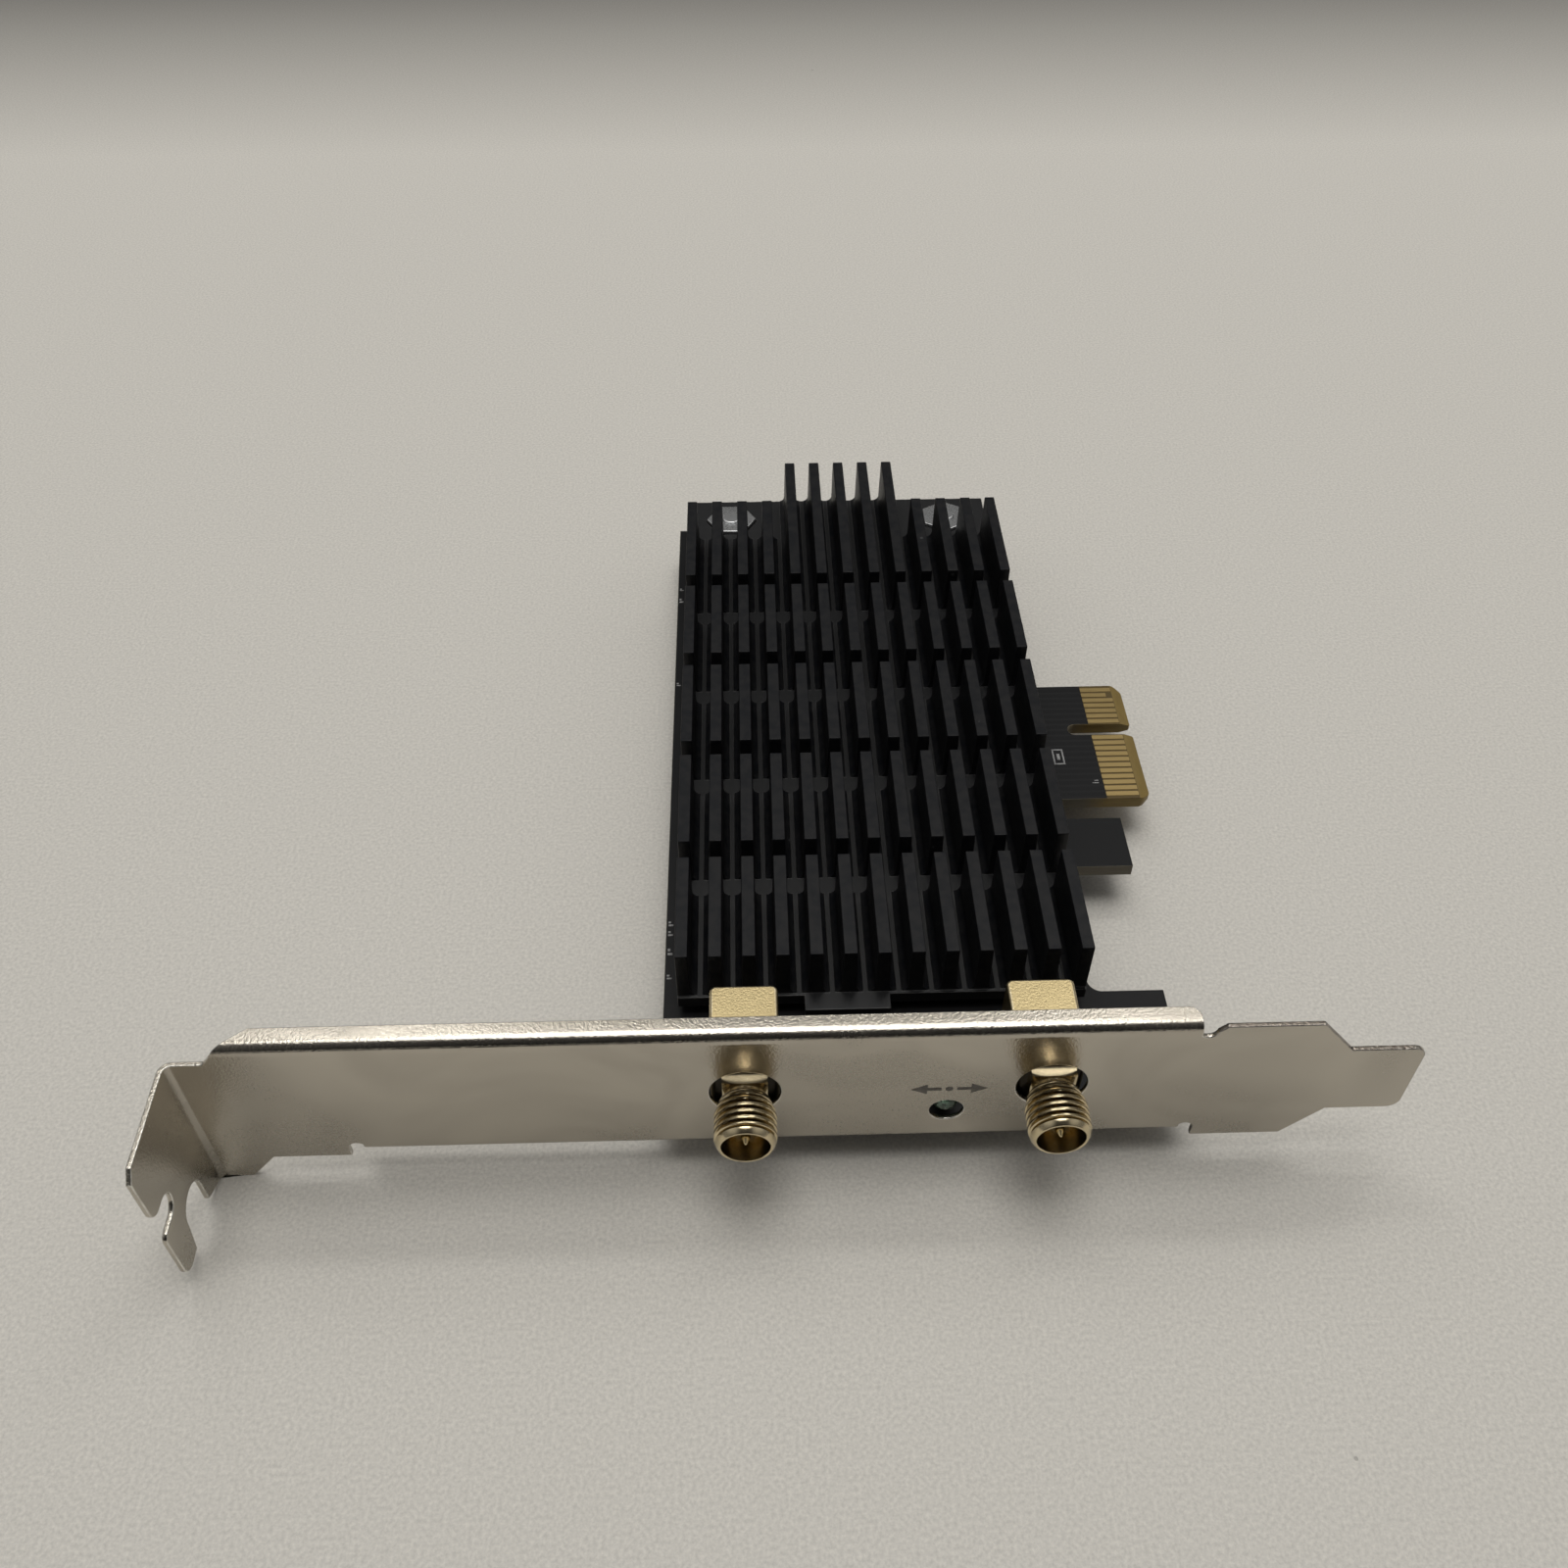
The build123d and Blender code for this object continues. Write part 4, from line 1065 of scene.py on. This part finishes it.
@dataclass
class SlotBracket:
    """The folded steel bracket, with a plain engraved sign by the light."""

    finishes: Finishes
    edge: float = 0.12
    sheet: float = 0.55
    sheared_angle: float = 60.0
    sign_length: float = 74.4
    sign_height: float = 6.55
    arrow_length: float = 3.0
    arrow_gap: float = 1.5
    arrow_rise: float = 1.6
    stem: float = 0.45
    dot: float = 0.75
    engraving: float = 0.04

    def build(self) -> None:
        """Builds the bracket and its sign."""
        shape = node_shape("bracket")
        self.mark_sheared(shape)
        bracket = piece_from("slot_bracket", shape, self.finishes.bracket_steel)
        hand_over(soften(bracket, self.edge), "bracket_steel", "bracket")
        hand_over(self.sign(), "bracket_steel")

    def mark_sheared(self, shape: bmesh.types.BMesh) -> None:
        """Marks the narrow faces where the sheet was cut, for the finish.

        Args:
            shape: the bracket, which gains a face value.
        """
        sheared = shape.faces.layers.float.new(SHEARED)
        for face in shape.faces:
            around = face.calc_perimeter()
            sharp = [
                edge.calc_length() for edge in face.edges
                if edge.is_manifold and edge.calc_face_angle() > math.radians(self.sheared_angle)
            ]
            thin = 2 * face.calc_area() / around < self.sheet * MM
            face[sheared] = float(thin and sum(sharp) > around / 2)

    def sign(self) -> bpy.types.Object:
        """Two opposed arrows with a dot between them, for data going both ways.

        Returns:
            The sign, a thin dark inlay on the bracket's face.
        """
        shape = bmesh.new()
        for way in (-1, 1):
            base = self.arrow_gap / 2
            neck = base + self.arrow_length - self.arrow_rise
            tip = base + self.arrow_length
            half = self.stem / 2
            outline = [(base, -half), (neck, -half), (neck, -self.arrow_rise / 2), (tip, 0.0)]
            outline += [(neck, self.arrow_rise / 2), (neck, half), (base, half)]
            self.inlay(shape, [(way * along, up) for along, up in outline])
        turns = [2 * math.pi * step / DOT_STEPS for step in range(DOT_STEPS)]
        self.inlay(shape, [(math.cos(t) * self.dot / 2, math.sin(t) * self.dot / 2) for t in turns])
        bmesh.ops.recalc_face_normals(shape, faces=shape.faces)
        return piece_from("light_sign", shape, self.finishes.mark_grey)

    def inlay(self, shape: bmesh.types.BMesh, outline: list[Ring]) -> None:
        """Adds one flat figure of the sign.

        Args:
            shape: the sign so far.
            outline: its corners from the sign's middle, along and up, in mm.
        """
        corners = [
            shape.verts.new(CARD.place(self.sign_length + along, 0.0, self.sign_height + up))
            for along, up in outline
        ]
        face = shape.faces.new(corners)
        raised = bmesh.ops.extrude_face_region(shape, geom=[face])["geom"]
        moved = [item for item in raised if isinstance(item, bmesh.types.BMVert)]
        bmesh.ops.translate(shape, verts=moved, vec=Vector((0, -self.engraving * MM / 2, 0)))


@dataclass
class Heatsink:
    """The black heatsink: a base plate with four posts and rows of tapered fins."""

    finishes: Finishes
    fins: NodeShape
    fin_count: int = 13
    long_fins: int = 5
    fin_edge: float = 0.63
    root_width: float = 1.62
    valley_radius: float = 0.8
    top_width: float = 1.39
    height: float = 6.62
    rooted: float = 0.3
    base_top: float = 2.83
    setback: float = 0.35
    near: float = 14.25
    first_cut: float = 29.47
    row_pitch: float = 16.0
    cut_width: float = 2.3
    row_cuts: int = 4
    bare_length: float = 9.4
    edge: float = 0.09
    base_edge: float = 0.12

    def build(self) -> None:
        """Builds the base and its fins."""
        top = CARD.place(0, 0, self.base_top)
        base = node_shape("heatsink")
        cut_away(base, top + Vector((0, 0, MERGE)), Vector((0, 0, 1)))
        join_flats(base)
        # The base plate takes the lighter copy of the anodised finish: painted light along the valley floors.
        plate = piece_from("heatsink_base", base, self.finishes.heatsink_lit_floor)
        hand_over(soften(plate, self.base_edge), "heatsink_black", "heatsink")
        hand_over(soften(self.fin_rows(), self.edge), "heatsink_black", "heatsink")

    def fin_rows(self) -> bpy.types.Object:
        """All the rows of fins.

        Returns:
            The fins as one piece.
        """
        low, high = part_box("heatsink")
        pitch = (high.x - low.x - 2 * self.fin_edge * MM) / (self.fin_count - 1)
        far = (high.y - CARD.face_y) / MM
        cuts = [self.first_cut + step * self.row_pitch for step in range(self.row_cuts)]
        starts = [self.near + self.setback] + [cut + self.cut_width / 2 for cut in cuts]
        ends = [cut - self.cut_width / 2 for cut in cuts]
        side_fins = (self.fin_count - self.long_fins) // 2
        groups = [(0, self.fin_count, start, end) for start, end in zip(starts, ends)]
        groups += [(0, side_fins, starts[-1], far - self.bare_length)]
        groups += [(side_fins, self.long_fins, starts[-1], far)]
        groups += [(side_fins + self.long_fins, side_fins, starts[-1], far - self.bare_length)]
        joined = bmesh.new()
        for first, count, start, end in groups:
            row = self.fins.grow(
                "fin_row",
                self.finishes.heatsink_black,
                Count=count,
                First_X=low.x + self.fin_edge * MM + first * pitch,
                Pitch=pitch,
                Near=CARD.place(0, start, 0).y,
                Length=(end - start) * MM,
                Base=CARD.place(0, 0, self.base_top).z,
                Rooted=self.rooted * MM,
                Height=self.height * MM,
                Root_Width=self.root_width * MM,
                Top_Width=self.top_width * MM,
                Valley_Radius=self.valley_radius * MM,
                Low_X=low.x,
                High_X=high.x,
            )
            joined.from_mesh(row.data)
            remove_piece(row)
        close_shape(joined)
        return piece_from("heatsink_fins", joined, self.finishes.heatsink_black)


@dataclass
class AntennaJack:
    """One antenna jack: a gold block, a threaded barrel, an insulator and a centre pin."""

    side: Side
    finishes: Finishes
    thread: NodeShape
    block_front: float = 1.0
    neck_radius: float = 2.2
    neck_half: float = 2.2
    neck_end: float = -0.35
    groove_shade: float = 0.62
    groove_radius: float = 2.05
    groove_step: float = 0.1
    root_radius: float = 2.5
    crest: float = 0.53
    pitch: float = 0.7056
    thread_start: float = -1.05
    thread_end: float = -5.4
    run_in: float = 1.5
    run_out: float = 0.25
    land_radius: float = 2.95
    land_step: float = 0.08
    rim_radius: float = 2.6
    rim_length: float = 0.5
    rim_edge: float = 0.03
    bore_radius: float = 2.36
    lead_in: float = 0.04
    edge: float = 0.12
    fine_edge: float = 0.03
    crease: float = 38.0

    def build(self) -> None:
        """Builds the jack's pieces."""
        name = f"jack_{self.side.value}"
        hand_over(self.block(name), "jack_gold", f"{name}_body")
        hand_over(self.barrel(name), "jack_gold", f"{name}_body")
        for part, finish, slot in (
            ("insulator", self.finishes.insulator_white, "insulator_white"),
            ("pin", self.finishes.pin_gold, "pin_gold"),
        ):
            node = f"{name}_{part}"
            copy = piece_from(f"{node}_turned", node_shape(node), finish)
            hand_over(soften(copy, self.fine_edge, segments=1), slot, node)

    def block(self, name: str) -> bpy.types.Object:
        """The block behind the bracket, with its legs.

        Args:
            name: the jack's name.

        Returns:
            The block.
        """
        shape = node_shape(f"{name}_body")
        cut_away(shape, CARD.place(0, self.block_front, 0) - Vector((0, MERGE / 2, 0)), Vector((0, -1, 0)))
        close_shape(shape)
        join_flats(shape)
        return soften(piece_from(f"{name}_block", shape, self.finishes.jack_block), self.edge)

    def square_up(self, vert: bmesh.types.BMVert, centre: Vector) -> None:
        """Moves a point of the round neck out to the neck's square outline.

        Args:
            vert: the point, moved in place.
            centre: a point on the barrel's axis.
        """
        away = vert.co - centre
        share = self.neck_half * MM / max(abs(away.x), abs(away.z))
        vert.co.x = centre.x + away.x * share
        vert.co.z = centre.z + away.z * share

    def barrel(self, name: str) -> bpy.types.Object:
        """The neck and barrel in front of the block, with its thread and socket.

        Args:
            name: the jack's name.

        Returns:
            The barrel.
        """
        body_low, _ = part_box(f"{name}_body")
        core_low, core_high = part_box(f"{name}_insulator")
        core_radius = (core_high.x - core_low.x) / 2 / MM
        end = (body_low.y - CARD.face_y) / MM
        floor = (core_low.y - CARD.face_y) / MM
        centre = Vector(((core_low.x + core_high.x) / 2, CARD.face_y, core_high.z - core_radius * MM))
        shape = bmesh.new()
        thread = self.thread.grow(
            "thread",
            self.finishes.jack_thread,
            Root_Radius=self.root_radius * MM,
            Depth=self.crest * MM,
            Pitch=self.pitch * MM,
            Length=(self.thread_start - self.thread_end) * MM,
            Run_In=self.run_in * MM,
            Run_Out=self.run_out * MM,
        )
        shape.from_mesh(thread.data)
        remove_piece(thread)
        start = centre + Vector((0, self.thread_start * MM, 0))
        bmesh.ops.translate(shape, verts=shape.verts, vec=start)
        neck = [
            (core_radius, self.block_front),
            (self.neck_radius, self.block_front),
            (self.neck_radius, self.neck_end),
            (self.groove_radius, self.neck_end - self.groove_step),
            (self.groove_radius, self.thread_start + self.groove_step),
            (self.root_radius, self.thread_start),
        ]
        front = [
            (self.root_radius, self.thread_end),
            (self.land_radius, self.thread_end - self.land_step),
            (self.land_radius, end + self.rim_length),
            (self.rim_radius, end + self.rim_edge),
            (self.rim_radius - self.rim_edge, end),
            (self.bore_radius + self.lead_in, end),
        ]
        bore = [
            (self.bore_radius + self.lead_in, end),
            (self.bore_radius, end + self.lead_in),
            (self.bore_radius, floor),
            (core_radius, floor),
            (core_radius, self.block_front),
        ]
        groove = shape.verts.layers.float[RECESS_SHADE]
        neck_loops = lathe(shape, neck, centre)
        lathe(shape, front, centre)
        lathe(shape, bore, centre)
        # The neck groove takes part of the painted shade.
        for vert in sum(neck_loops[3:5], []):
            vert[groove] = self.groove_shade
        for vert in sum(neck_loops[1:3], []):
            self.square_up(vert, centre)
        close_shape(shape)
        piece = piece_from(f"{name}_barrel", shape, self.finishes.jack_thread)
        piece.data.set_sharp_from_angle(angle=math.radians(self.crease))
        return piece


@dataclass
class CircuitBoard:
    """The board with its edge contacts, printed marks and solder joints."""

    finishes: Finishes
    contacts: NodeShape
    copies: NodeShape
    edge: float = 0.04
    corner: float = 0.45
    corner_steps: int = 4
    upright: float = 0.8
    contact_crease: float = 30.0
    contact_start: float = 99.25
    contact_end: float = 103.25
    contact_width: float = 0.7
    contact_corner: float = 0.12
    contact_thickness: float = 0.05
    contact_pitch: float = 1.0
    near_first: float = 45.65
    near_count: int = 11
    far_first: float = 58.65
    far_count: int = 7
    short_share: float = 0.8125
    thickness: float = 1.57
    mark_height: float = 0.015
    tick_start: float = 46.0
    tick_ends: Ring = (46.55, 46.3)
    tick_shares: Ring = (0.35, 0.6)
    left_ticks: tuple[Ring, ...] = (
        (87.3, 0.5), (84.6, 0.9), (67.0, 0.6), (26.3, 0.7), (24.9, 0.7), (22.2, 0.9), (18.9, 0.6),
    )
    connector_ticks: tuple[tuple[float, float, float, float], ...] = (
        (93.7, 50.9, 95.1, 51.1),
        (93.7, 53.4, 95.1, 53.6),
        (93.7, 51.1, 93.9, 53.4),
        (94.9, 51.1, 95.1, 53.4),
        (94.2, 51.7, 94.6, 52.8),
        (97.9, 47.5, 98.7, 47.65),
        (98.2, 47.9, 98.7, 48.05),
    )
    joint_rings: tuple[Ring, ...] = (
        (0.0, 0.0), (0.85, 0.0), (0.75, 0.12), (0.62, 0.35), (0.55, 0.75), (0.0, 0.9),
    )
    leg_pitch: float = 2.54
    pin_inset: float = 0.35
    lead_inset: float = 0.25

    def build(self) -> None:
        """Builds the board and what is printed, plated or soldered on it."""
        shape = node_shape("circuit_board")
        self.round_corners(shape)
        board = piece_from("board", shape, self.finishes.board_mask)
        hand_over(soften(board, self.edge, segments=1), "board_mask", "circuit_board")
        for face in BoardFace:
            hand_over(self.contact_rows(face), "contact_gold", f"contacts_{face.name.lower()}")
        hand_over(self.marks(), "board_mask")
        hand_over(self.joints(), "lead_tin")

    def round_corners(self, shape: bmesh.types.BMesh) -> None:
        """Rounds off the chamfered corners at the connector's end.

        Args:
            shape: the board, changed in place.
        """
        end = CARD.place(self.contact_end, 0, 0).x
        uprights = [
            edge for edge in shape.edges
            if min(vert.co.x for vert in edge.verts) > end
            and abs((edge.verts[0].co - edge.verts[1].co).normalized().z) > self.upright
        ]
        bmesh.ops.bevel(
            shape, geom=uprights, offset=self.corner * MM, segments=self.corner_steps, profile=0.5,
            affect="EDGES", clamp_overlap=True,
        )

    def contact_rows(self, face: BoardFace) -> bpy.types.Object:
        """The contacts on one face of the board.

        Args:
            face: the board's face.

        Returns:
            The contacts.
        """
        height = 0.0 if face is BoardFace.UPPER else -self.thickness - self.contact_thickness
        short_row, short_index = (1, self.far_count - 2) if face is BoardFace.UPPER else (0, 0)
        rows = ((self.near_first, self.near_count), (self.far_first, self.far_count))
        joined = bmesh.new()
        for place, (first, count) in enumerate(rows):
            row = self.contacts.grow(
                "contact_row",
                self.finishes.contact_gold,
                Start=CARD.place(self.contact_start, first, height),
                Count=count,
                Pitch=self.contact_pitch * MM,
                Length=(self.contact_end - self.contact_start) * MM,
                Width=self.contact_width * MM,
                Corner=self.contact_corner * MM,
                Thickness=self.contact_thickness * MM,
                Short_Index=short_index if place == short_row else -1,
                Short_Share=self.short_share,
            )
            joined.from_mesh(row.data)
            remove_piece(row)
        close_shape(joined)
        piece = piece_from(f"{face.name.lower()}_fingers", joined, self.finishes.contact_gold)
        piece.data.set_sharp_from_angle(angle=math.radians(self.contact_crease))
        return piece

    def marks(self) -> bpy.types.Object:
        """Plain printed ticks and a small frame, with no lettering.

        Returns:
            The marks.
        """
        shape = bmesh.new()
        first_end, second_end = self.tick_ends
        first_share, second_share = self.tick_shares
        for reach, size in self.left_ticks:
            self.tick(shape, self.tick_start, reach, first_end, reach + size * first_share)
            self.tick(shape, self.tick_start, reach + size * second_share, second_end, reach + size)
        for corners in self.connector_ticks:
            self.tick(shape, *corners)
        bmesh.ops.recalc_face_normals(shape, faces=shape.faces)
        return piece_from("printed_marks", shape, self.finishes.silk_white)

    def tick(
        self, shape: bmesh.types.BMesh, length: float, reach: float, far_length: float, far_reach: float
    ) -> None:
        """Adds one thin printed bar on the component face.

        Args:
            shape: the marks so far.
            length: where it starts along the bracket, in mm.
            reach: where it starts into the card, in mm.
            far_length: where it ends along the bracket, in mm.
            far_reach: where it ends into the card, in mm.
        """
        low = CARD.place(length, reach, 0.0)
        high = CARD.place(far_length, far_reach, self.mark_height)
        cube = bmesh.ops.create_cube(shape, size=1.0)["verts"]
        size = high - low
        bmesh.ops.scale(shape, vec=size, verts=cube)
        bmesh.ops.translate(shape, vec=(low + high) / 2, verts=cube)

    def joints(self) -> bpy.types.Object:
        """A solder cone round every leg and lead on the solder side.

        Returns:
            The joints.
        """
        legs = []
        for side in Side:
            low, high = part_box(f"jack_{side.value}_pin")
            middle = Vector(((low.x + high.x) / 2, high.y - self.pin_inset * MM, 0))
            legs.append(middle)
            legs += [middle + Vector((dx, dy, 0)) * self.leg_pitch * MM for dx in (-1, 1) for dy in (-1, 1)]
        lead_low, lead_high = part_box("light_leads")
        inset = self.lead_inset * MM
        reach = lead_high.y - inset
        legs += [Vector((lead_low.x + inset, reach, 0)), Vector((lead_high.x - inset, reach, 0))]
        under = CARD.place(0, 0, -self.thickness).z
        shape = bmesh.new()
        lathe(shape, list(self.joint_rings), Vector())
        upside_down = Matrix.Rotation(-math.pi / 2, 3, "X")
        bmesh.ops.rotate(shape, verts=shape.verts, cent=Vector(), matrix=upside_down)
        close_shape(shape)
        cone = piece_from("joint_cone", shape, self.finishes.lead_tin)
        seed = points_mesh("joint_points", [Vector((leg.x, leg.y, under)) for leg in legs])
        joints = self.copies.grow("solder_joints", self.finishes.lead_tin, seed=seed, Shape=cone)
        remove_piece(cone)
        return joints


@dataclass
class Fasteners:
    """Heatsink nuts and every screw, with cross recesses in the heads."""

    finishes: Finishes
    recess_width: float = 0.62
    recess_reach: float = 1.35
    recess_depth: float = 0.7
    nut_edge: float = 0.12
    screw_edge: float = 0.14
    level: float = 0.9

    def build(self) -> None:
        """Builds the nuts and the screws."""
        nuts = piece_from("hex_nuts", node_shape("heatsink_nuts"), self.finishes.nut_steel)
        hand_over(soften(nuts, self.nut_edge), "nut_steel", "heatsink_nuts")
        for node in ("heatsink_screws", "bracket_screws"):
            screws = piece_from(f"{node}_turned", node_shape(node), self.finishes.screw_steel)
            self.recess(screws, node)
            hand_over(soften(screws, self.screw_edge), "screw_steel", node)

    def recess(self, screws: bpy.types.Object, node: str) -> None:
        """Cuts a cross into every screw head.

        Args:
            screws: the screws, changed in place.
            node: their CAD node.
        """
        low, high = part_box(node)
        outer = high.z if node == "bracket_screws" else low.z
        arms = ((2 * self.recess_reach, self.recess_width), (self.recess_width, 2 * self.recess_reach))
        shape = bmesh.new()
        for middle in self.head_places(screws, outer):
            for wide, deep in arms:
                cube = bmesh.ops.create_cube(shape, size=1.0)["verts"]
                bmesh.ops.scale(shape, vec=Vector((wide, deep, 2 * self.recess_depth)) * MM, verts=cube)
                bmesh.ops.translate(shape, vec=Vector((middle.x, middle.y, outer)), verts=cube)
        cutter = piece_from("cross_cutter", shape, self.finishes.screw_steel)
        cut = screws.modifiers.new("cross", "BOOLEAN")
        cut.object = cutter
        cut.operation = "DIFFERENCE"
        cut.solver = "EXACT"
        cut.use_self = True
        settle(screws)
        remove_piece(cutter)

    def head_places(self, screws: bpy.types.Object, outer: float) -> list[Vector]:
        """The middle of each screw head.

        Args:
            screws: the screws.
            outer: the height of the heads' outer faces.

        Returns:
            The middles, at that height.
        """
        faces = [
            face for face in screws.data.polygons
            if abs(face.center.z - outer) < MERGE * 10 and abs(face.normal.z) > self.level
        ]
        return [Vector(face.center) for face in faces]


@dataclass
class ActivityLight:
    """The small light: a clear domed lens over a cup, on two bent leads."""

    finishes: Finishes
    lens_edge: float = 0.08
    lead_edge: float = 0.05

    def build(self) -> None:
        """Builds the lens and its leads."""
        lens = piece_from("light_dome", node_shape("light_lens"), self.finishes.lens_green)
        hand_over(soften(lens, self.lens_edge), "lens_green", "light_lens")
        leads = piece_from("light_legs", node_shape("light_leads"), self.finishes.lead_tin)
        hand_over(soften(leads, self.lead_edge), "lead_tin", "light_leads")


@dataclass
class SmallParts:
    """The chips, pads and small parts between the board and the heatsink."""

    finishes: Finishes
    edge: float = 0.06
    slots: dict[str, str] = field(
        default_factory=lambda: {
            "radio_chip": "chip_black",
            "amplifier_left": "chip_black",
            "amplifier_right": "chip_black",
            "memory_chip": "chip_black",
            "regulator": "chip_black",
            "radio_pad": "pad_grey",
            "amplifier_left_pad": "pad_grey",
            "amplifier_right_pad": "pad_grey",
            "inductor": "ferrite_grey",
            "crystal": "crystal_can",
            "capacitors": "capacitor_tan",
            "lane_capacitors": "capacitor_tan",
            "resistors": "resistor_black",
        }
    )

    def build(self) -> None:
        """Builds a soft-edged copy of each part."""
        for node, slot in self.slots.items():
            part = piece_from(f"{node}_part", node_shape(node), getattr(self.finishes, slot))
            hand_over(soften(part, self.edge), slot, node)


@dataclass(frozen=True)
class Softbox:
    """One flat lamp that faces the card."""

    name: str
    way: Colour
    width: float
    depth: float
    level: float
    distance: float = 1.1
    colour: Colour = (1.0, 0.985, 0.95)

    def build(self) -> None:
        """Hangs the lamp; its level is its brightness beside a white surface's 1."""
        data = bpy.data.lights.new(self.name, "AREA")
        data.shape = "RECTANGLE"
        data.size = self.width
        data.size_y = self.depth
        data.energy = self.level * math.pi * self.width * self.depth
        data.color = self.colour
        lamp = bpy.data.objects.new(self.name, data)
        lamp.location = Vector(self.way).normalized() * self.distance
        lamp.rotation_mode = "QUATERNION"
        lamp.rotation_quaternion = (-lamp.location).to_track_quat("-Z", "Y")
        bpy.context.scene.collection.objects.link(lamp)


@dataclass
class Studio:
    """Floor, lights and the camera at the photograph's angle."""

    floor_size: float = 4.0
    floor_colour: Colour = (0.69, 0.667, 0.62)
    # Painted shade far behind the card: where it fades in, in metres, and the floor's share left there.
    far_fade: Ring = (0.21, 0.36)
    far_share: float = 0.12
    tooth_scale: float = 2600.0
    tooth_shades: Ring = (0.86, 1.1)
    tooth_bump: float = 0.25
    tooth_depth: float = 0.05
    dust: Colour = (0.1, 0.09, 0.08)
    dust_share: float = 0.35
    dust_scale: float = 60.0
    dust_size: float = 0.022
    floor_roughness: float = 0.75
    floor_specular: float = 0.2
    room_colour: Colour = (1.0, 0.985, 0.955)
    room_level: float = 0.2
    side_level: float = 0.5
    side_span: Ring = (0.4, 0.85)
    rise_span: Ring = (0.3, 0.8)
    low_share: float = 0.25
    ceiling_level: float = 4.5
    ceiling_span: Ring = (0.94, 0.965)
    viewer_width: Ring = (0.3, 0.5)
    viewer_reach: Ring = (-0.3, -0.15)
    viewer_share: float = 0.2
    lamps: tuple[Softbox, ...] = (
        Softbox("strip_lamp", way=(0.0, 0.375, 0.927), width=0.88, depth=0.09, level=6.0),
        Softbox("softbox_left", way=(-0.3, 0.55, 0.8), width=0.29, depth=0.29, level=1.65),
        Softbox("softbox_right", way=(0.36, 0.5, 0.8), width=0.29, depth=0.29, level=1.65),
    )
    focal: float = 33.354
    sensor: float = 36.0
    clip: Ring = (0.01, 20.0)
    eye: Colour = (-0.00408, -0.12401, 0.13487)
    forward: Colour = (0.0209, 0.6996, -0.7142)
    right: Colour = (0.9996, -0.0289, 0.0009)

    def build(self) -> None:
        """Builds the stage."""
        self.floor()
        self.sky()
        for lamp in self.lamps:
            lamp.build()
        self.camera()

    def floor(self) -> None:
        """A plain pale floor with a fine tooth, and painted shade that darkens it far behind the card."""
        material, tree, shader = blank_material("pale_floor")
        tooth = use(tree, EFFECTS.grain(), Scale=self.tooth_scale)
        speck = use(tree, EFFECTS.specks(), Scale=self.dust_scale, Size=self.dust_size)
        # Painted shade: the floor darkens far behind the card, where the light falls off.
        far = tree.parts("ShaderNodeTexCoord", "Object")[1]
        fade = tree.span(far, *self.far_fade)
        shares = (*self.tooth_shades, self.far_share)
        darker, lighter, distant = (tuple(c * share for c in self.floor_colour) for share in shares)
        near = tree.mix(tree.span(tooth, *GRAIN_SPAN), darker, lighter)
        dotted = tree.mix(tree.math("MULTIPLY", speck, self.dust_share), near, self.dust)
        tree.link(tree.mix(fade, dotted, distant), shader.inputs["Base Color"])
        set_bump(tree, shader, self.tooth_bump, self.tooth_depth, tooth)
        shader.inputs["Roughness"].default_value = self.floor_roughness
        shader.inputs["Specular IOR Level"].default_value = self.floor_specular
        shape = bmesh.new()
        bmesh.ops.create_grid(shape, x_segments=1, y_segments=1, size=self.floor_size / 2)
        piece_from("floor", shape, material)

    def sky(self) -> None:
        """A room lit by a ceiling panel and the sides, dim low down and where the viewer stands."""
        world = bpy.data.worlds.new("room")
        world.use_nodes = True
        bpy.context.scene.world = world
        tree = Tree(world.node_tree)
        along, reach, height = tree.parts("ShaderNodeTexCoord", "Generated")
        aside = tree.math("ABSOLUTE", along)
        walls = tree.span(aside, *self.side_span, self.room_level, self.room_level + self.side_level)
        walls = tree.math("MULTIPLY", walls, tree.span(height, *self.rise_span, self.low_share, 1.0))
        level = tree.math("ADD", walls, tree.span(height, *self.ceiling_span, 0.0, self.ceiling_level))
        ahead = tree.span(aside, *self.viewer_width, 1.0, 0.0)
        viewer = tree.math("MULTIPLY", ahead, tree.span(reach, *self.viewer_reach, 1.0, 0.0))
        shade = tree.span(viewer, 0.0, 1.0, 1.0, self.viewer_share)
        back = next(node for node in world.node_tree.nodes if node.type == "BACKGROUND")
        back.inputs["Color"].default_value = (*self.room_colour, 1.0)
        tree.link(tree.math("MULTIPLY", level, shade), back.inputs["Strength"])

    def camera(self) -> None:
        """The camera, from the fit to the bracket's standard sizes."""
        data = bpy.data.cameras.new("camera")
        data.lens = self.focal
        data.sensor_width = self.sensor
        data.clip_start, data.clip_end = self.clip
        camera = bpy.data.objects.new("camera", data)
        back = -Vector(self.forward).normalized()
        side = Vector(self.right).normalized()
        up = back.cross(side).normalized()
        turn = Matrix((side, up, back)).transposed()
        camera.matrix_world = Matrix.Translation(Vector(self.eye)) @ turn.to_4x4()
        bpy.context.scene.collection.objects.link(camera)
        bpy.context.scene.camera = camera
        bpy.context.scene.view_settings.view_transform = "Standard"


def main() -> None:
    """Builds the card's sub-assemblies, then the studio."""
    logging.basicConfig(level=logging.INFO, format="%(name)s: %(message)s")
    finishes = Finishes()
    thread = thread_tree()
    copies = copies_tree()
    SlotBracket(finishes).build()
    Heatsink(finishes, fin_tree()).build()
    for side in Side:
        AntennaJack(side, finishes, thread).build()
    CircuitBoard(finishes, contact_tree(), copies).build()
    Fasteners(finishes).build()
    ActivityLight(finishes).build()
    SmallParts(finishes).build()
    Studio().build()


if __name__ == "__main__":
    main()
